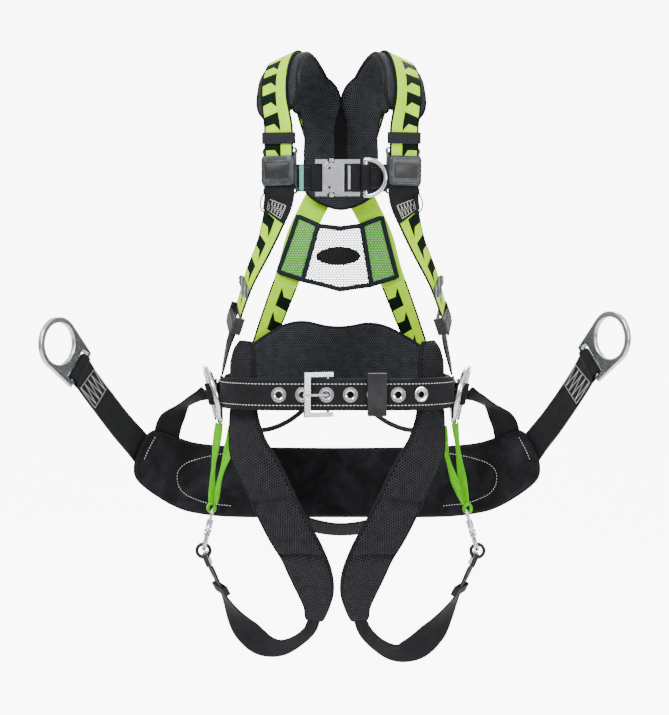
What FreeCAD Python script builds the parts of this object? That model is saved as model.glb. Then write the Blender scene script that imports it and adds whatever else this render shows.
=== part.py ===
"""Full-body tower and tree climbing harness with a saddle seat, as a FreeCAD document.

Millimetres. +Z is up, +Y runs from the wearer's chest to the back, +X is to the wearer's left.
The origin is the middle of the waist opening, at half the height of the waist belt.
"right" and "left" are the wearer's: right is at -X.
"""

import math
import os
import re

import FreeCAD, Part

V = FreeCAD.Vector
doc = FreeCAD.newDocument("climbing_harness")
nodes = {}

# ---------------------------------------------------------------- driving dimensions
DIMENSIONS = {
    "webbing_width": 44.5,  # 1 3/4 inch harness webbing
    "webbing_thick": 2.5,
    "waist_half_width": 158,  # body side of the belt, half its breadth
    "waist_front": 108,  # body side of the belt, forward of the origin
    "waist_back": 104,
    "waist_front_corner": 78,
    "waist_back_corner": 92,
    "belt_ply": 5.5,  # two plies of webbing sewn together
    "tongue_gap": 8,  # body side of the tongue strap, outside the waist line
    "grommet_pitch": 33.4,
    "grommet_first": 81.6,  # distance along the belt, right of centre
    "grommet_hole": 5.0,
    "grommet_barrel": 6.8,
    "grommet_flange": 10.5,
    "grommet_lip": 0.9,
    "buckle_pivot_x": 13,  # right of centre
    "buckle_bar": 2.2,  # pivot bar radius
    "buckle_height": 63,
    "buckle_arm": 6.5,
    "buckle_plate": 4,
    "buckle_reach": 36,
    "buckle_tail": 8,
    "buckle_front_bar": 9,
    "buckle_lean": 24,
    "prong_wire": 1.9,
    "keeper_width": 27,
    "keeper_height": 60,
    "keeper_wall": 3,
    "keeper_centre": 56,
    "pad_thick": 13,
    "lumbar_top": 101,
    "lumbar_bottom": -30,
    "ring_wire": 4.5,  # hip D-ring, forged round section, radius
    "ring_bend": 38.5,
    "ring_leg": 14,
    "seat_eye": 29,  # suspension ring eye, radius
    "seat_rim": 8.5,
    "seat_ring_thick": 7,
    "seat_ring_edge": 2,
    "seat_bar_reach": 59,
    "seat_bar_half": 31,
    "seat_bar_width": 8,
    "seat_slot_half": 24,
    "seat_slot_height": 8.5,
    "chest_ring_wire": 3.2,
    "chest_ring_bend": 24.8,
    "chest_ring_leg": 3.5,
    "chest_ring_x": 39.3,
    "chest_ring_turn": 12,
    "back_ring_wire": 4.5,
    "back_ring_bend": 32,
    "back_ring_leg": 16,
    "chest_height": 302,
    "chest_depth": 128,
    "upper_shift": 6,  # the upper half sits this far to the wearer's left
    "chest_webbing": 38,
    "chest_body_height": 19.2,
    "chest_body_thick": 9,
    "chest_frame_height": 25.3,
    "chest_frame_thick": 4,
    "chest_tongue_half": 10,
    "chest_tongue_thick": 2.6,
    "housing_width": 50,
    "housing_height": 50,
    "housing_plate": 3.5,
    "housing_cover": 7,
    "seat_radius": 460,
    "seat_middle_depth": 115,
    "seat_thick": 16,
    "gear_tube": 3.8,
    "cord_radius": 1,
    "hook_wire": 3.4,
    "hook_bow": 9,
    "hook_length": 52,
    "hook_to_ring": 55,
    "leg_ring_wire": 2.6,
    "leg_ring_bend": 9.5,
}

sheet = doc.addObject("Spreadsheet::Sheet", "dimensions")
for row, (alias, value) in enumerate(DIMENSIONS.items(), 1):
    sheet.set(f"A{row}", alias)
    sheet.set(f"B{row}", str(value))
    sheet.setAlias(f"B{row}", alias)
doc.recompute()


def dim(alias):
    """A driving dimension as a plain number."""
    return float(sheet.get(alias))


def bind(obj, **sizes):
    """Binds properties of obj to expressions written with the sheet's aliases."""
    for prop, text in sizes.items():
        linked = re.sub(r"[a-z][a-z_]+", lambda m: "dimensions." + m.group(), text)
        obj.setExpression(prop, linked)
    return obj


def axes_placement(origin, x_axis, y_axis, z_axis):
    """The placement that takes a piece's own axes to the three given ones."""
    m = FreeCAD.Matrix(
        x_axis.x, y_axis.x, z_axis.x, origin.x,
        x_axis.y, y_axis.y, z_axis.y, origin.y,
        x_axis.z, y_axis.z, z_axis.z, origin.z,
        0, 0, 0, 1,
    )
    return FreeCAD.Placement(m)


def box(name, length, width, height, corner):
    """A Part box bound to the sheet, with its lowest corner at three expressions."""
    piece = bind(doc.addObject("Part::Box", name), Length=length, Width=width, Height=height)
    return bind(piece, **{f"Placement.Base.{k}": c for k, c in zip("xyz", corner)})


def cylinder(name, radius, height, base, direction):
    """A Part cylinder bound to the sheet, from base along direction."""
    piece = bind(doc.addObject("Part::Cylinder", name), Radius=radius, Height=height)
    piece.Placement = FreeCAD.Placement(V(), FreeCAD.Rotation(V(0, 0, 1), V(*direction)))
    return bind(piece, **{f"Placement.Base.{k}": c for k, c in zip("xyz", base)})


def fuse(name, *pieces):
    piece = doc.addObject("Part::MultiFuse", name)
    piece.Shapes = list(pieces)
    return piece


def cut(name, base, *tools):
    piece = doc.addObject("Part::Cut", name)
    piece.Base = base
    piece.Tool = tools[0] if len(tools) == 1 else fuse(name + "_tools", *tools)
    return piece


def node(label, obj, placement=None):
    """Registers obj as the sub-part called label."""
    if placement is not None:
        obj.Placement = placement.multiply(obj.Placement)
    obj.Label = label
    nodes[label] = obj
    return obj


def solid_node(label, shape):
    """Registers a shape made with Part's own functions as the sub-part called label."""
    obj = doc.addObject("Part::Feature", label)
    obj.Shape = shape
    return node(label, obj)


# ---------------------------------------------------------------- straps and pads
def frames(stations):
    """Point, path direction, width direction and outward normal at each station of a strap."""
    points = [V(*s[:3]) for s in stations]
    found = []
    for i, station in enumerate(stations):
        before, after = points[max(i - 1, 0)], points[min(i + 1, len(points) - 1)]
        along = (after - before).normalize()
        across = V(*station[3:6]).cross(along).normalize()
        found.append((points[i], along, across, along.cross(across)))
    return found


def strap(stations, width, inner, outer):
    """A flat strap or pad: a rectangle lofted through the stations.

    A station is x, y, z, the outward normal and, if it differs, its share of the width.
    The body side lies at inner and the outer side at outer, along the normal.
    """
    sections = []
    for station, (point, _, across, normal) in zip(stations, frames(stations)):
        share = station[6] if len(station) > 6 else 1.0
        side = across * (width * share / 2)
        corners = [
            point - side + normal * inner,
            point + side + normal * inner,
            point + side + normal * outer,
            point - side + normal * outer,
        ]
        sections.append(Part.makePolygon(corners + corners[:1]))
    return Part.makeLoft(sections, True, True)


def mirrored(stations, about=0.0):
    """The same strap on the wearer's left."""
    return [(2 * about - s[0], s[1], s[2], -s[3], *s[4:]) for s in stations]


def webbing(stations, plies=1, lift=0.0):
    """One or more plies of harness webbing, centred on the stations and lifted off the body."""
    half = dim("webbing_thick") * plies / 2
    return strap(stations, dim("webbing_width"), lift - half, lift + half)


def with_sleeve(shape, middle, axis, length, bar):
    """shape with a webbing sleeve round a bar that turns in it, bored clear of the bar."""
    start = middle - V(axis) * (length / 2)
    outer = Part.makeCylinder(bar + 0.5 + dim("webbing_thick"), length, start, axis)
    clear = Part.makeCylinder(bar + 0.5, length + 20, start - V(axis) * 10, axis)
    return shape.fuse(outer).cut(clear).removeSplitter()


def smooth_path(points, share=0.45):
    """A wire of straight runs joined by tangent arcs, each as large as its two runs allow."""
    points = [V(*p) for p in points]
    edges, start = [], points[0]
    for i in range(1, len(points) - 1):
        back, ahead = points[i - 1] - points[i], points[i + 1] - points[i]
        turn = math.pi - back.getAngle(ahead)
        reach = share * min(back.Length, ahead.Length)
        radius = reach / math.tan(turn / 2)
        print(f"arc radius {radius:.1f} mm")
        a = points[i] + V(back).normalize() * reach
        b = points[i] + V(ahead).normalize() * reach
        inward = (V(back).normalize() + V(ahead).normalize()).normalize()
        middle = points[i] + inward * (radius / math.cos(turn / 2) - radius)
        edges.append(Part.LineSegment(start, a).toShape())
        edges.append(Part.Arc(a, middle, b).toShape())
        start = b
    edges.append(Part.LineSegment(start, points[-1]).toShape())
    return Part.Wire(edges)


def tube(points, radius):
    """A round tube along a smooth path."""
    path = smooth_path(points)
    direction = V(*points[1]) - V(*points[0])
    ring = Part.Wire(Part.makeCircle(radius, V(*points[0]), direction))
    made = path.makePipeShell([ring], True, False)
    drift = made.Volume / (math.pi * radius * radius * path.Length) - 1
    print(f"tube {path.Length:.1f} mm long, volume off by {drift:.2%}")
    return made


# ---------------------------------------------------------------- waist belt
def waist_line(offset, right_end, left_end, front=True):
    """Half of the waist line as seen from above, from the right side to the left side.

    offset is the distance outside the body side of the belt. The ends are given by y on a side,
    or, on the front, by x as a negative-side start for a strap that begins there.
    """
    half = dim("waist_half_width") + offset
    depth = (dim("waist_front") if front else dim("waist_back")) + offset
    corner = dim("waist_front_corner" if front else "waist_back_corner")
    sign = -1 if front else 1
    radius = corner + offset
    centre_x, centre_y = half - radius, sign * (depth - radius)
    diagonal = radius * math.sqrt(0.5)
    left_arc = Part.Arc(
        V(centre_x, sign * depth, 0),
        V(centre_x + diagonal, centre_y + sign * diagonal, 0),
        V(half, centre_y, 0),
    ).toShape()
    edges = []
    if right_end[0] == "side":
        edges.append(Part.LineSegment(V(-half, right_end[1], 0), V(-half, centre_y, 0)).toShape())
        edges.append(
            Part.Arc(
                V(-half, centre_y, 0),
                V(-centre_x - diagonal, centre_y + sign * diagonal, 0),
                V(-centre_x, sign * depth, 0),
            ).toShape()
        )
        edges.append(
            Part.LineSegment(V(-centre_x, sign * depth, 0), V(centre_x, sign * depth, 0)).toShape()
        )
    else:
        edges.append(
            Part.LineSegment(V(right_end[1], sign * depth, 0), V(centre_x, sign * depth, 0)).toShape()
        )
    edges.append(left_arc)
    edges.append(Part.LineSegment(V(half, centre_y, 0), V(half, left_end, 0)).toShape())
    return Part.Wire(edges)


def waist_band(inner, outer, right_end, left_end, bottom, top, front=True):
    """A band round half of the waist between two offsets, from bottom to top."""
    near = waist_line(inner, right_end, left_end, front)
    far = waist_line(outer, right_end, left_end, front)
    ends = [
        Part.LineSegment(w.Vertexes[k].Point, v.Vertexes[k].Point).toShape()
        for k, (w, v) in ((0, (near, far)), (-1, (near, far)))
    ]
    face = Part.Face(Part.Wire(Part.__sortEdges__(near.Edges + far.Edges + ends)))
    band = face.extrude(V(0, 0, top - bottom))
    band.translate(V(0, 0, bottom))
    return band


def belt_point(along, offset):
    """Place, outward direction and forward direction at a distance along the front of the belt."""
    corner = dim("waist_front_corner")
    straight = dim("waist_half_width") - corner
    over = max(abs(along) - straight, 0) / (corner + offset)
    side = math.copysign(1, along)
    outward = V(side * math.sin(over), -math.cos(over), 0)
    centre = V(side * min(abs(along), straight), -(dim("waist_front") - corner), 0)
    return centre + outward * (corner + offset), outward


def make_belt():
    half = dim("webbing_width") / 2
    ply, gap, thick = dim("belt_ply"), dim("tongue_gap"), dim("webbing_thick")
    back = waist_band(0, ply, ("side", 4), 4, -half, half, front=False)
    solid_node("belt_back_webbing", back)
    pivot = -dim("buckle_pivot_x")
    buckle_strap = waist_band(0, ply, ("front", pivot + 3.2), 3.5, -half, half)
    bar = V(pivot, -dim("waist_front") - ply / 2, 0)
    bore, wall = dim("buckle_bar") + 0.4, dim("buckle_bar") + 2.1
    wrap = Part.makeCylinder(wall, 2 * half - 2, bar - V(0, 0, half - 1))
    notch = Part.makeBox(19, 20, 11, V(pivot - 12, -dim("waist_front") - 12, -5.5))
    buckle_strap = buckle_strap.fuse(wrap).cut(notch)
    buckle_strap = buckle_strap.cut(Part.makeCylinder(bore, 80, bar - V(0, 0, 40)))
    solid_node("belt_buckle_strap", buckle_strap.removeSplitter())
    tongue = waist_band(gap, gap + thick, ("side", -2), -26, -half, half)
    seats = []
    middle = gap + thick / 2
    for k in range(7):
        place, outward = belt_point(k * dim("grommet_pitch") - dim("grommet_first"), middle)
        seats.append((place, outward))
        hole = Part.makeCylinder(dim("grommet_barrel") + 0.1, 12, place - outward * 6, outward)
        tongue = tongue.cut(hole)
    solid_node("belt_tongue_strap", tongue)
    grommet = make_grommet()
    doc.recompute()
    rings = []
    for place, outward in seats:
        ring = grommet.Shape.copy()
        ring.Placement = axes_placement(place, outward.cross(V(0, 0, 1)), outward, V(0, 0, 1))
        rings.append(ring)
    solid_node("belt_grommets", Part.Compound(rings))


def make_grommet():
    """One brass grommet about its own Y axis: a barrel with a rolled lip on each face."""
    body = doc.addObject("PartDesign::Body", "grommet_body")
    sketch = body.newObject("Sketcher::SketchObject", "grommet_section")
    plane = next(p for p in body.Origin.OriginFeatures if p.Role == "XY_Plane")
    sketch.AttachmentSupport = (plane, [""])
    sketch.MapMode = "FlatFace"
    hole, barrel, flange = (dim("grommet_" + k) for k in ("hole", "barrel", "flange"))
    half, lip = dim("webbing_thick") / 2, dim("grommet_lip")
    outline = [
        (hole, -half - lip), (flange, -half - lip), (flange, -half), (barrel, -half),
        (barrel, half), (flange, half), (flange, half + lip), (hole, half + lip),
    ]
    for i, start in enumerate(outline):
        end = outline[(i + 1) % len(outline)]
        sketch.addGeometry(Part.LineSegment(V(*start, 0), V(*end, 0)), False)
    import Sketcher

    for i in range(len(outline)):
        sketch.addConstraint(Sketcher.Constraint("Coincident", i, 2, (i + 1) % len(outline), 1))
        upright = abs(outline[i][0] - outline[(i + 1) % len(outline)][0]) < 1e-6
        sketch.addConstraint(Sketcher.Constraint("Vertical" if upright else "Horizontal", i))
    for line, alias in ((7, "grommet_hole"), (1, "grommet_flange"), (3, "grommet_barrel")):
        k = sketch.addConstraint(Sketcher.Constraint("DistanceX", -1, 1, line, 1, dim(alias)))
        sketch.renameConstraint(k, alias + "_radius")
        sketch.setExpression(f"Constraints.{alias}_radius", f"dimensions.{alias}")
    turn = body.newObject("PartDesign::Revolution", "grommet_turn")
    turn.Profile = sketch
    turn.ReferenceAxis = (sketch, ["V_Axis"])
    turn.Angle = 360
    return body


# ---------------------------------------------------------------- belt buckle and keeper
def make_belt_buckle():
    lean = FreeCAD.Rotation(V(0, 0, 1), dim("buckle_lean"))
    pivot = V(-dim("buckle_pivot_x"), -dim("waist_front") - dim("belt_ply") / 2, 0)
    half_z = "0 - buckle_height / 2"
    front = box(
        "buckle_front", "buckle_front_bar", "buckle_plate", "buckle_height",
        ("0 - buckle_reach", "0 - buckle_plate / 2", half_z),
    )
    arm = ("0 - buckle_reach", "0 - buckle_plate / 2")
    lower = box("buckle_lower_arm", "buckle_reach + buckle_tail", "buckle_plate", "buckle_arm",
                (*arm, half_z))
    upper = box("buckle_upper_arm", "buckle_reach + buckle_tail", "buckle_plate", "buckle_arm",
                (*arm, "buckle_height / 2 - buckle_arm"))
    bar = cylinder("buckle_pivot_bar", "buckle_bar", "buckle_height - buckle_arm",
                   ("0", "0", "0 - buckle_height / 2 + buckle_arm / 2"), (0, 0, 1))
    frame = fuse("belt_buckle_frame", front, lower, upper, bar)
    node("belt_buckle_frame", frame, FreeCAD.Placement(pivot, lean))

    wire = dim("prong_wire")
    sleeve_out = dim("buckle_bar") + 1.6
    sleeve = Part.makeCylinder(sleeve_out, 7, V(0, 0, -3.5))
    root, knee, tip = V(0, -3, 0), V(-1.2, -11.6, 0), V(-33, -18.8, 0)
    shank = Part.makeCylinder(wire, (knee - root).Length, root, knee - root)
    finger = Part.makeCylinder(wire, (tip - knee).Length, knee, tip - knee)
    joints = [Part.makeSphere(wire, knee), Part.makeSphere(wire, tip)]
    prong = sleeve.multiFuse([shank, finger, *joints]).removeSplitter()
    bore = Part.makeCylinder(dim("buckle_bar") + 0.08, 12, V(0, 0, -6))
    prong = prong.cut(bore)
    prong.translate(pivot)
    solid_node("belt_buckle_prong", prong)

    wall = "keeper_wall"
    inner_y = "tongue_gap + webbing_thick + grommet_lip + 2"
    outer = box("keeper_outer", "keeper_width", f"{inner_y} + 2 * {wall}", "keeper_height",
                ("keeper_centre - keeper_width / 2",
                 f"0 - waist_front - tongue_gap - webbing_thick - grommet_lip - 1 - {wall}",
                 "0 - keeper_height / 2"))
    hollow = box("keeper_hollow", "keeper_width + 10", inner_y, "webbing_width + 3",
                 ("keeper_centre - keeper_width / 2 - 5",
                  "0 - waist_front - tongue_gap - webbing_thick - grommet_lip - 1",
                  "0 - webbing_width / 2 - 1.5"))
    node("belt_keeper", cut("belt_keeper", outer, hollow))


# ---------------------------------------------------------------- rings
def d_ring(name, wire, bend, leg, bar_clear=0.0):
    """A D-ring in its own XZ plane: bar up the Z axis through the origin, bow towards +X."""
    pieces = []
    for sign in (-1, 1):
        side = "" if sign > 0 else "0 - "
        pieces.append(cylinder(f"{name}_leg{sign}", wire, leg, ("0", "0", f"{side}{bend}"), (1, 0, 0)))
        ball = bind(doc.addObject("Part::Sphere", f"{name}_corner{sign}"), Radius=wire)
        bind(ball, **{"Placement.Base.z": f"{side}{bend}"})
        pieces.append(ball)
    pieces.append(cylinder(f"{name}_bar", wire, f"2 * {bend}", ("0", "0", f"0 - {bend}"), (0, 0, 1)))
    bow = bind(doc.addObject("Part::Torus", f"{name}_bow"), Radius1=bend, Radius2=wire)
    bow.Angle3 = 180
    bow.Placement = FreeCAD.Placement(V(), FreeCAD.Rotation(V(0, 0, 1), V(1, 0, 0), V(0, 1, 0), "ZXY"))
    bind(bow, **{"Placement.Base.x": leg})
    pieces.append(bow)
    return fuse(name, *pieces)


def ring_axes(out, up):
    """Right-handed axes with x along out and z as near to up as possible."""
    x = V(*out).normalize()
    y = V(*up).cross(x).normalize()
    return x, y, x.cross(y)


def make_d_rings():
    loops = []
    for name, sign in (("right", -1), ("left", 1)):
        ring = d_ring(f"{name}_hip_d_ring", "ring_wire", "ring_bend", "ring_leg")
        up = V(sign * 0.25, 0, 1).normalize()
        bar = V(sign * 181, -17, -4)
        axes = ring_axes((-sign * 0.2, -0.98, -0.1), up)
        node(f"{name}_hip_d_ring", ring, axes_placement(bar, *axes))
        low, high = sorted((sign * 170.2, sign * 172.7))
        patch = Part.makeBox(high - low, 36, 38, V(low, -18, -19))
        bridge = Part.makeBox(8, 5, 32, V(sign * 175.2 - 4, -16, -16))
        loops.append(with_sleeve(patch.fuse(bridge), bar, axes[2], 34, dim("ring_wire")))
    solid_node("hip_ring_loops", Part.Compound(loops))
    chest = d_ring("chest_d_ring", "chest_ring_wire", "chest_ring_bend", "chest_ring_leg")
    turn = math.radians(dim("chest_ring_turn"))
    axes = ring_axes((math.cos(turn), -math.sin(turn), 0), (0, 0, 1))
    node("chest_d_ring", chest, axes_placement(chest_ring_bar(), *axes))
    back = d_ring("dorsal_d_ring", "back_ring_wire", "back_ring_bend", "back_ring_leg")
    axes = ring_axes((0, 0.06, -1), (1, 0, 0))
    node("dorsal_d_ring", back, axes_placement(V(dim("upper_shift"), 144.6, 318), *axes))


def chest_ring_bar():
    """The middle of the chest ring's bar, in front of the wearer's left chest strap."""
    return V(dim("chest_ring_x"), -dim("chest_depth") - 4, dim("chest_height"))


def make_seat_ring(name):
    """A forged suspension ring in its own XY plane: round eye at the origin, bar towards -Y."""
    import Sketcher

    body = doc.addObject("PartDesign::Body", name)
    sketch = body.newObject("Sketcher::SketchObject", name + "_outline")
    plane = next(p for p in body.Origin.OriginFeatures if p.Role == "XY_Plane")
    sketch.AttachmentSupport = (plane, [""])
    sketch.MapMode = "FlatFace"
    eye = dim("seat_eye")
    rim = eye + dim("seat_rim")
    half, reach = dim("seat_bar_half"), dim("seat_bar_reach")
    foot = math.atan2(-reach, half)
    tangent = foot + math.acos(rim / math.hypot(half, reach))
    touch = V(rim * math.cos(tangent), rim * math.sin(tangent), 0)
    circle = Part.Circle(V(), V(0, 0, 1), rim)
    sketch.addGeometry(Part.ArcOfCircle(circle, tangent, math.pi - tangent), False)
    corners = [V(-touch.x, touch.y, 0), V(-half, -reach, 0), V(half, -reach, 0), touch]
    for start, end in zip(corners, corners[1:]):
        sketch.addGeometry(Part.LineSegment(start, end), False)
    sketch.addGeometry(Part.Circle(V(), V(0, 0, 1), eye), False)
    for one, a, two, b in ((0, 2, 1, 1), (1, 2, 2, 1), (2, 2, 3, 1), (3, 2, 0, 1)):
        sketch.addConstraint(Sketcher.Constraint("Coincident", one, a, two, b))
    sketch.addConstraint(Sketcher.Constraint("Coincident", 4, 3, -1, 1))
    k = sketch.addConstraint(Sketcher.Constraint("Radius", 4, eye))
    sketch.renameConstraint(k, "eye_radius")
    sketch.setExpression("Constraints.eye_radius", "dimensions.seat_eye")
    pad = body.newObject("PartDesign::Pad", name + "_forging")
    pad.Profile = sketch
    pad.Midplane = True
    bind(pad, Length="seat_ring_thick")
    slot = body.newObject("Sketcher::SketchObject", name + "_slot")
    slot.AttachmentSupport = (plane, [""])
    slot.MapMode = "FlatFace"
    low = -reach + dim("seat_bar_width")
    high, wide = low + dim("seat_slot_height"), dim("seat_slot_half")
    corners = [V(-wide, low, 0), V(wide, low, 0), V(wide, high, 0), V(-wide, high, 0)]
    for start, end in zip(corners, corners[1:] + corners[:1]):
        slot.addGeometry(Part.LineSegment(start, end), False)
    for i in range(4):
        slot.addConstraint(Sketcher.Constraint("Coincident", i, 2, (i + 1) % 4, 1))
    pocket = body.newObject("PartDesign::Pocket", name + "_webbing_slot")
    pocket.Profile = slot
    pocket.Midplane = True
    pocket.Type = 1
    doc.recompute()
    round_off = body.newObject("PartDesign::Fillet", name + "_edges")
    outer = [
        f"Edge{i}"
        for i, e in enumerate(pocket.Shape.Edges, 1)
        if abs(e.BoundBox.ZLength) < 1e-6 and e.Length > 30
    ]
    round_off.Base = (pocket, outer)
    bind(round_off, Radius="seat_ring_edge")
    return body


SEAT_RING_EYE = {"right": (-388, -128, 72), "left": (381, -128, 80)}


def seat_ring_axes(sign):
    """Right-handed axes of a seat ring: along its bar, towards its eye, square to its face."""
    out = V(sign * 0.45, -0.6, 0.66).normalize()
    flat = V(-sign * 0.8, -0.6, 0)
    return out.cross(flat), out, flat


def make_seat_rings():
    for name, sign in (("right", -1), ("left", 1)):
        body = make_seat_ring(f"{name}_seat_d_ring")
        eye = V(*SEAT_RING_EYE[name])
        node(f"{name}_seat_d_ring", body, axes_placement(eye, *seat_ring_axes(sign)))


# ---------------------------------------------------------------- shoulder harness
# Stations of the wearer's right shoulder webbing, from the torso adjuster over the shoulder.
SHOULDER = [
    (-139, -56, 118, -0.97, -0.22, 0.1),
    (-124, -76, 161, -0.95, -0.3, 0.05),
    (-101, -98, 211, -0.88, -0.47, 0.0),
    (-89, -112, 244, -0.7, -0.7, 0.0),
    (-80, -124, 276, -0.4, -0.92, 0.0),
    (-80.5, -124, 312, -0.4, -0.92, 0.0),
    (-81, -124, 341, -0.4, -0.92, 0.0),
    (-81.5, -124, 370, -0.4, -0.92, 0.0),
    (-87, -103, 407, -0.55, -0.7, 0.4),
    (-87, -64, 450, -0.5, -0.45, 0.75),
    (-77, -12, 479, -0.4, 0.0, 0.9),
    (-63, 45, 475, -0.3, 0.45, 0.85),
    (-51, 97, 448, -0.15, 0.8, 0.6),
    (-40, 122, 416, -0.05, 0.95, 0.3),
    (-24, 127.5, 365, 0, 1, 0),
    (-4, 127.5, 308, 0, 1, 0),
]
PAD_FIRST, PAD_LAST = 8, 13  # the shoulder pad lies under these stations


def between(one, two, share):
    """The station a share of the way from one station to the next."""
    return tuple(a + (b - a) * share for a, b in zip(one, two))


def make_shoulders():
    shift = dim("upper_shift")
    thick = dim("webbing_thick")
    for name in ("right", "left"):
        path = SHOULDER if name == "right" else mirrored(SHOULDER, shift)
        if name == "left":
            # the left strap passes outside the right one where they cross on the back
            path = [(x, y + (4.2 if z < 420 and y > 0 else 0), z, *rest) for x, y, z, *rest in path]
        solid_node(f"{name}_shoulder_webbing", webbing(path))
        lift = -thick / 2 - 1.6
        first = between(path[7], path[8], 0.7)
        last = between(path[12], path[13], 0.7)
        under = [first, *path[PAD_FIRST:PAD_LAST], last]
        # the two pads lean towards each other where they meet the dorsal pad
        side = 1 if name == "right" else -1
        shares, leans = (0.75, 0.95, 1, 1, 1, 1, 1), (0, 0, 0, 0, 0, 6, 9)
        pad_path = [(s[0] + side * lean, *s[1:6], share) for s, share, lean in zip(under, shares, leans)]
        pad = strap(pad_path, 66, lift - dim("pad_thick"), lift)
        solid_node(f"{name}_shoulder_pad", pad)


def spline_face(points, depth):
    """A closed smooth outline in the XZ plane at a depth, as a face."""
    curve = Part.BSplineCurve()
    curve.interpolate([V(x, depth, z) for x, z in points], PeriodicFlag=True)
    return Part.Face(Part.Wire(curve.toShape()))


# Right half of the dorsal pad's outline, from the neck notch to the bottom tip, about its own middle.
DORSAL_HALF = [
    (0, 419), (-20, 418), (-38, 413), (-53, 406), (-63, 397), (-55, 381), (-53, 345), (-56, 298), (-36, 275), (0, 264),
]


def make_dorsal_pad():
    middle = dim("upper_shift")
    right = [(middle + x, z) for x, z in DORSAL_HALF]
    left = [(middle - x, z) for x, z in DORSAL_HALF[-2:0:-1]]
    thick = dim("pad_thick")
    pad = spline_face(right + left, 104).extrude(V(0, thick, 0))
    solid_node("dorsal_pad", pad)
    plate = Part.makeBox(74, 4, 62, V(middle - 37, 135.2, 287))
    plate = plate.makeFillet(14, [e for e in plate.Edges if abs(e.BoundBox.YLength - 4) < 1e-6])
    bar = V(middle, 144.6, 318)
    solid_node("dorsal_web_plate", with_sleeve(plate, bar, V(1, 0, 0), 44, dim("back_ring_wire")))


BACK_WEB = [
    (12, 128, 262, 0, 1, 0),
    (-26, 127, 255, 0, 1, 0, 0.9),
    (-50, 121, 225, 0, 1, 0, 0.85),
    (-72, 120, 168, -0.1, 1, 0, 0.85),
    (-88, 119, 125, -0.3, 0.95, 0, 0.85),
    (-104, 115, 82, -0.5, 0.85, 0, 0.85),
    (-118, 103, 40, -0.6, 0.8, 0, 0.85),
]


def make_back():
    shift = dim("upper_shift")
    right = webbing(BACK_WEB[1:])
    left = webbing(mirrored(BACK_WEB[1:], shift - 2))
    solid_node("back_webbings", Part.Compound([right, left]))
    outline = [
        (-61, 256), (-28, 242), (5, 239), (37, 242), (70, 254),
        (93, 162), (52, 148.5), (5, 141), (-52, 156), (-91, 170),
    ]
    near, far = 112.0, 113.6
    rim_wire = Part.makePolygon([V(x, near, z) for x, z in outline + outline[:1]])
    full = Part.Face(rim_wire).extrude(V(0, far - near, 0))
    window = Part.Face(rim_wire.makeOffset2D(-7)).extrude(V(0, far - near, 0))
    mesh = Part.Face(rim_wire.makeOffset2D(-7.05)).extrude(V(0, far - near, 0))
    posts = []
    for top_x, low_x in ((-28, -52), (37, 52)):
        low_z = 146 if low_x > 0 else 154
        lean = V(low_x - top_x, 0, low_z - 242)
        across = V(0, 1, 0).cross(lean).normalize() * 3.5
        a, b = V(top_x, near - 1.2, 242), V(low_x, near - 1.2, low_z)
        corners = [a - across, a + across, b + across, b - across]
        post = Part.Face(Part.makePolygon(corners + corners[:1])).extrude(V(0, 1.1, 0))
        posts.append(post.common(Part.Face(rim_wire).extrude(V(0, -2, 0))))
    solid_node("back_panel_mesh", mesh)
    solid_node("back_panel_trim", Part.Compound([full.cut(window), *posts]))


# ---------------------------------------------------------------- chest strap
def chest_box(x, y, z):
    """A block between pairs of x, y and z; y and z are counted from the chest buckle's back."""
    low = V(x[0], y[0] - dim("chest_depth"), z[0] + dim("chest_height"))
    return Part.makeBox(x[1] - x[0], y[1] - y[0], z[1] - z[0], low)


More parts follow.
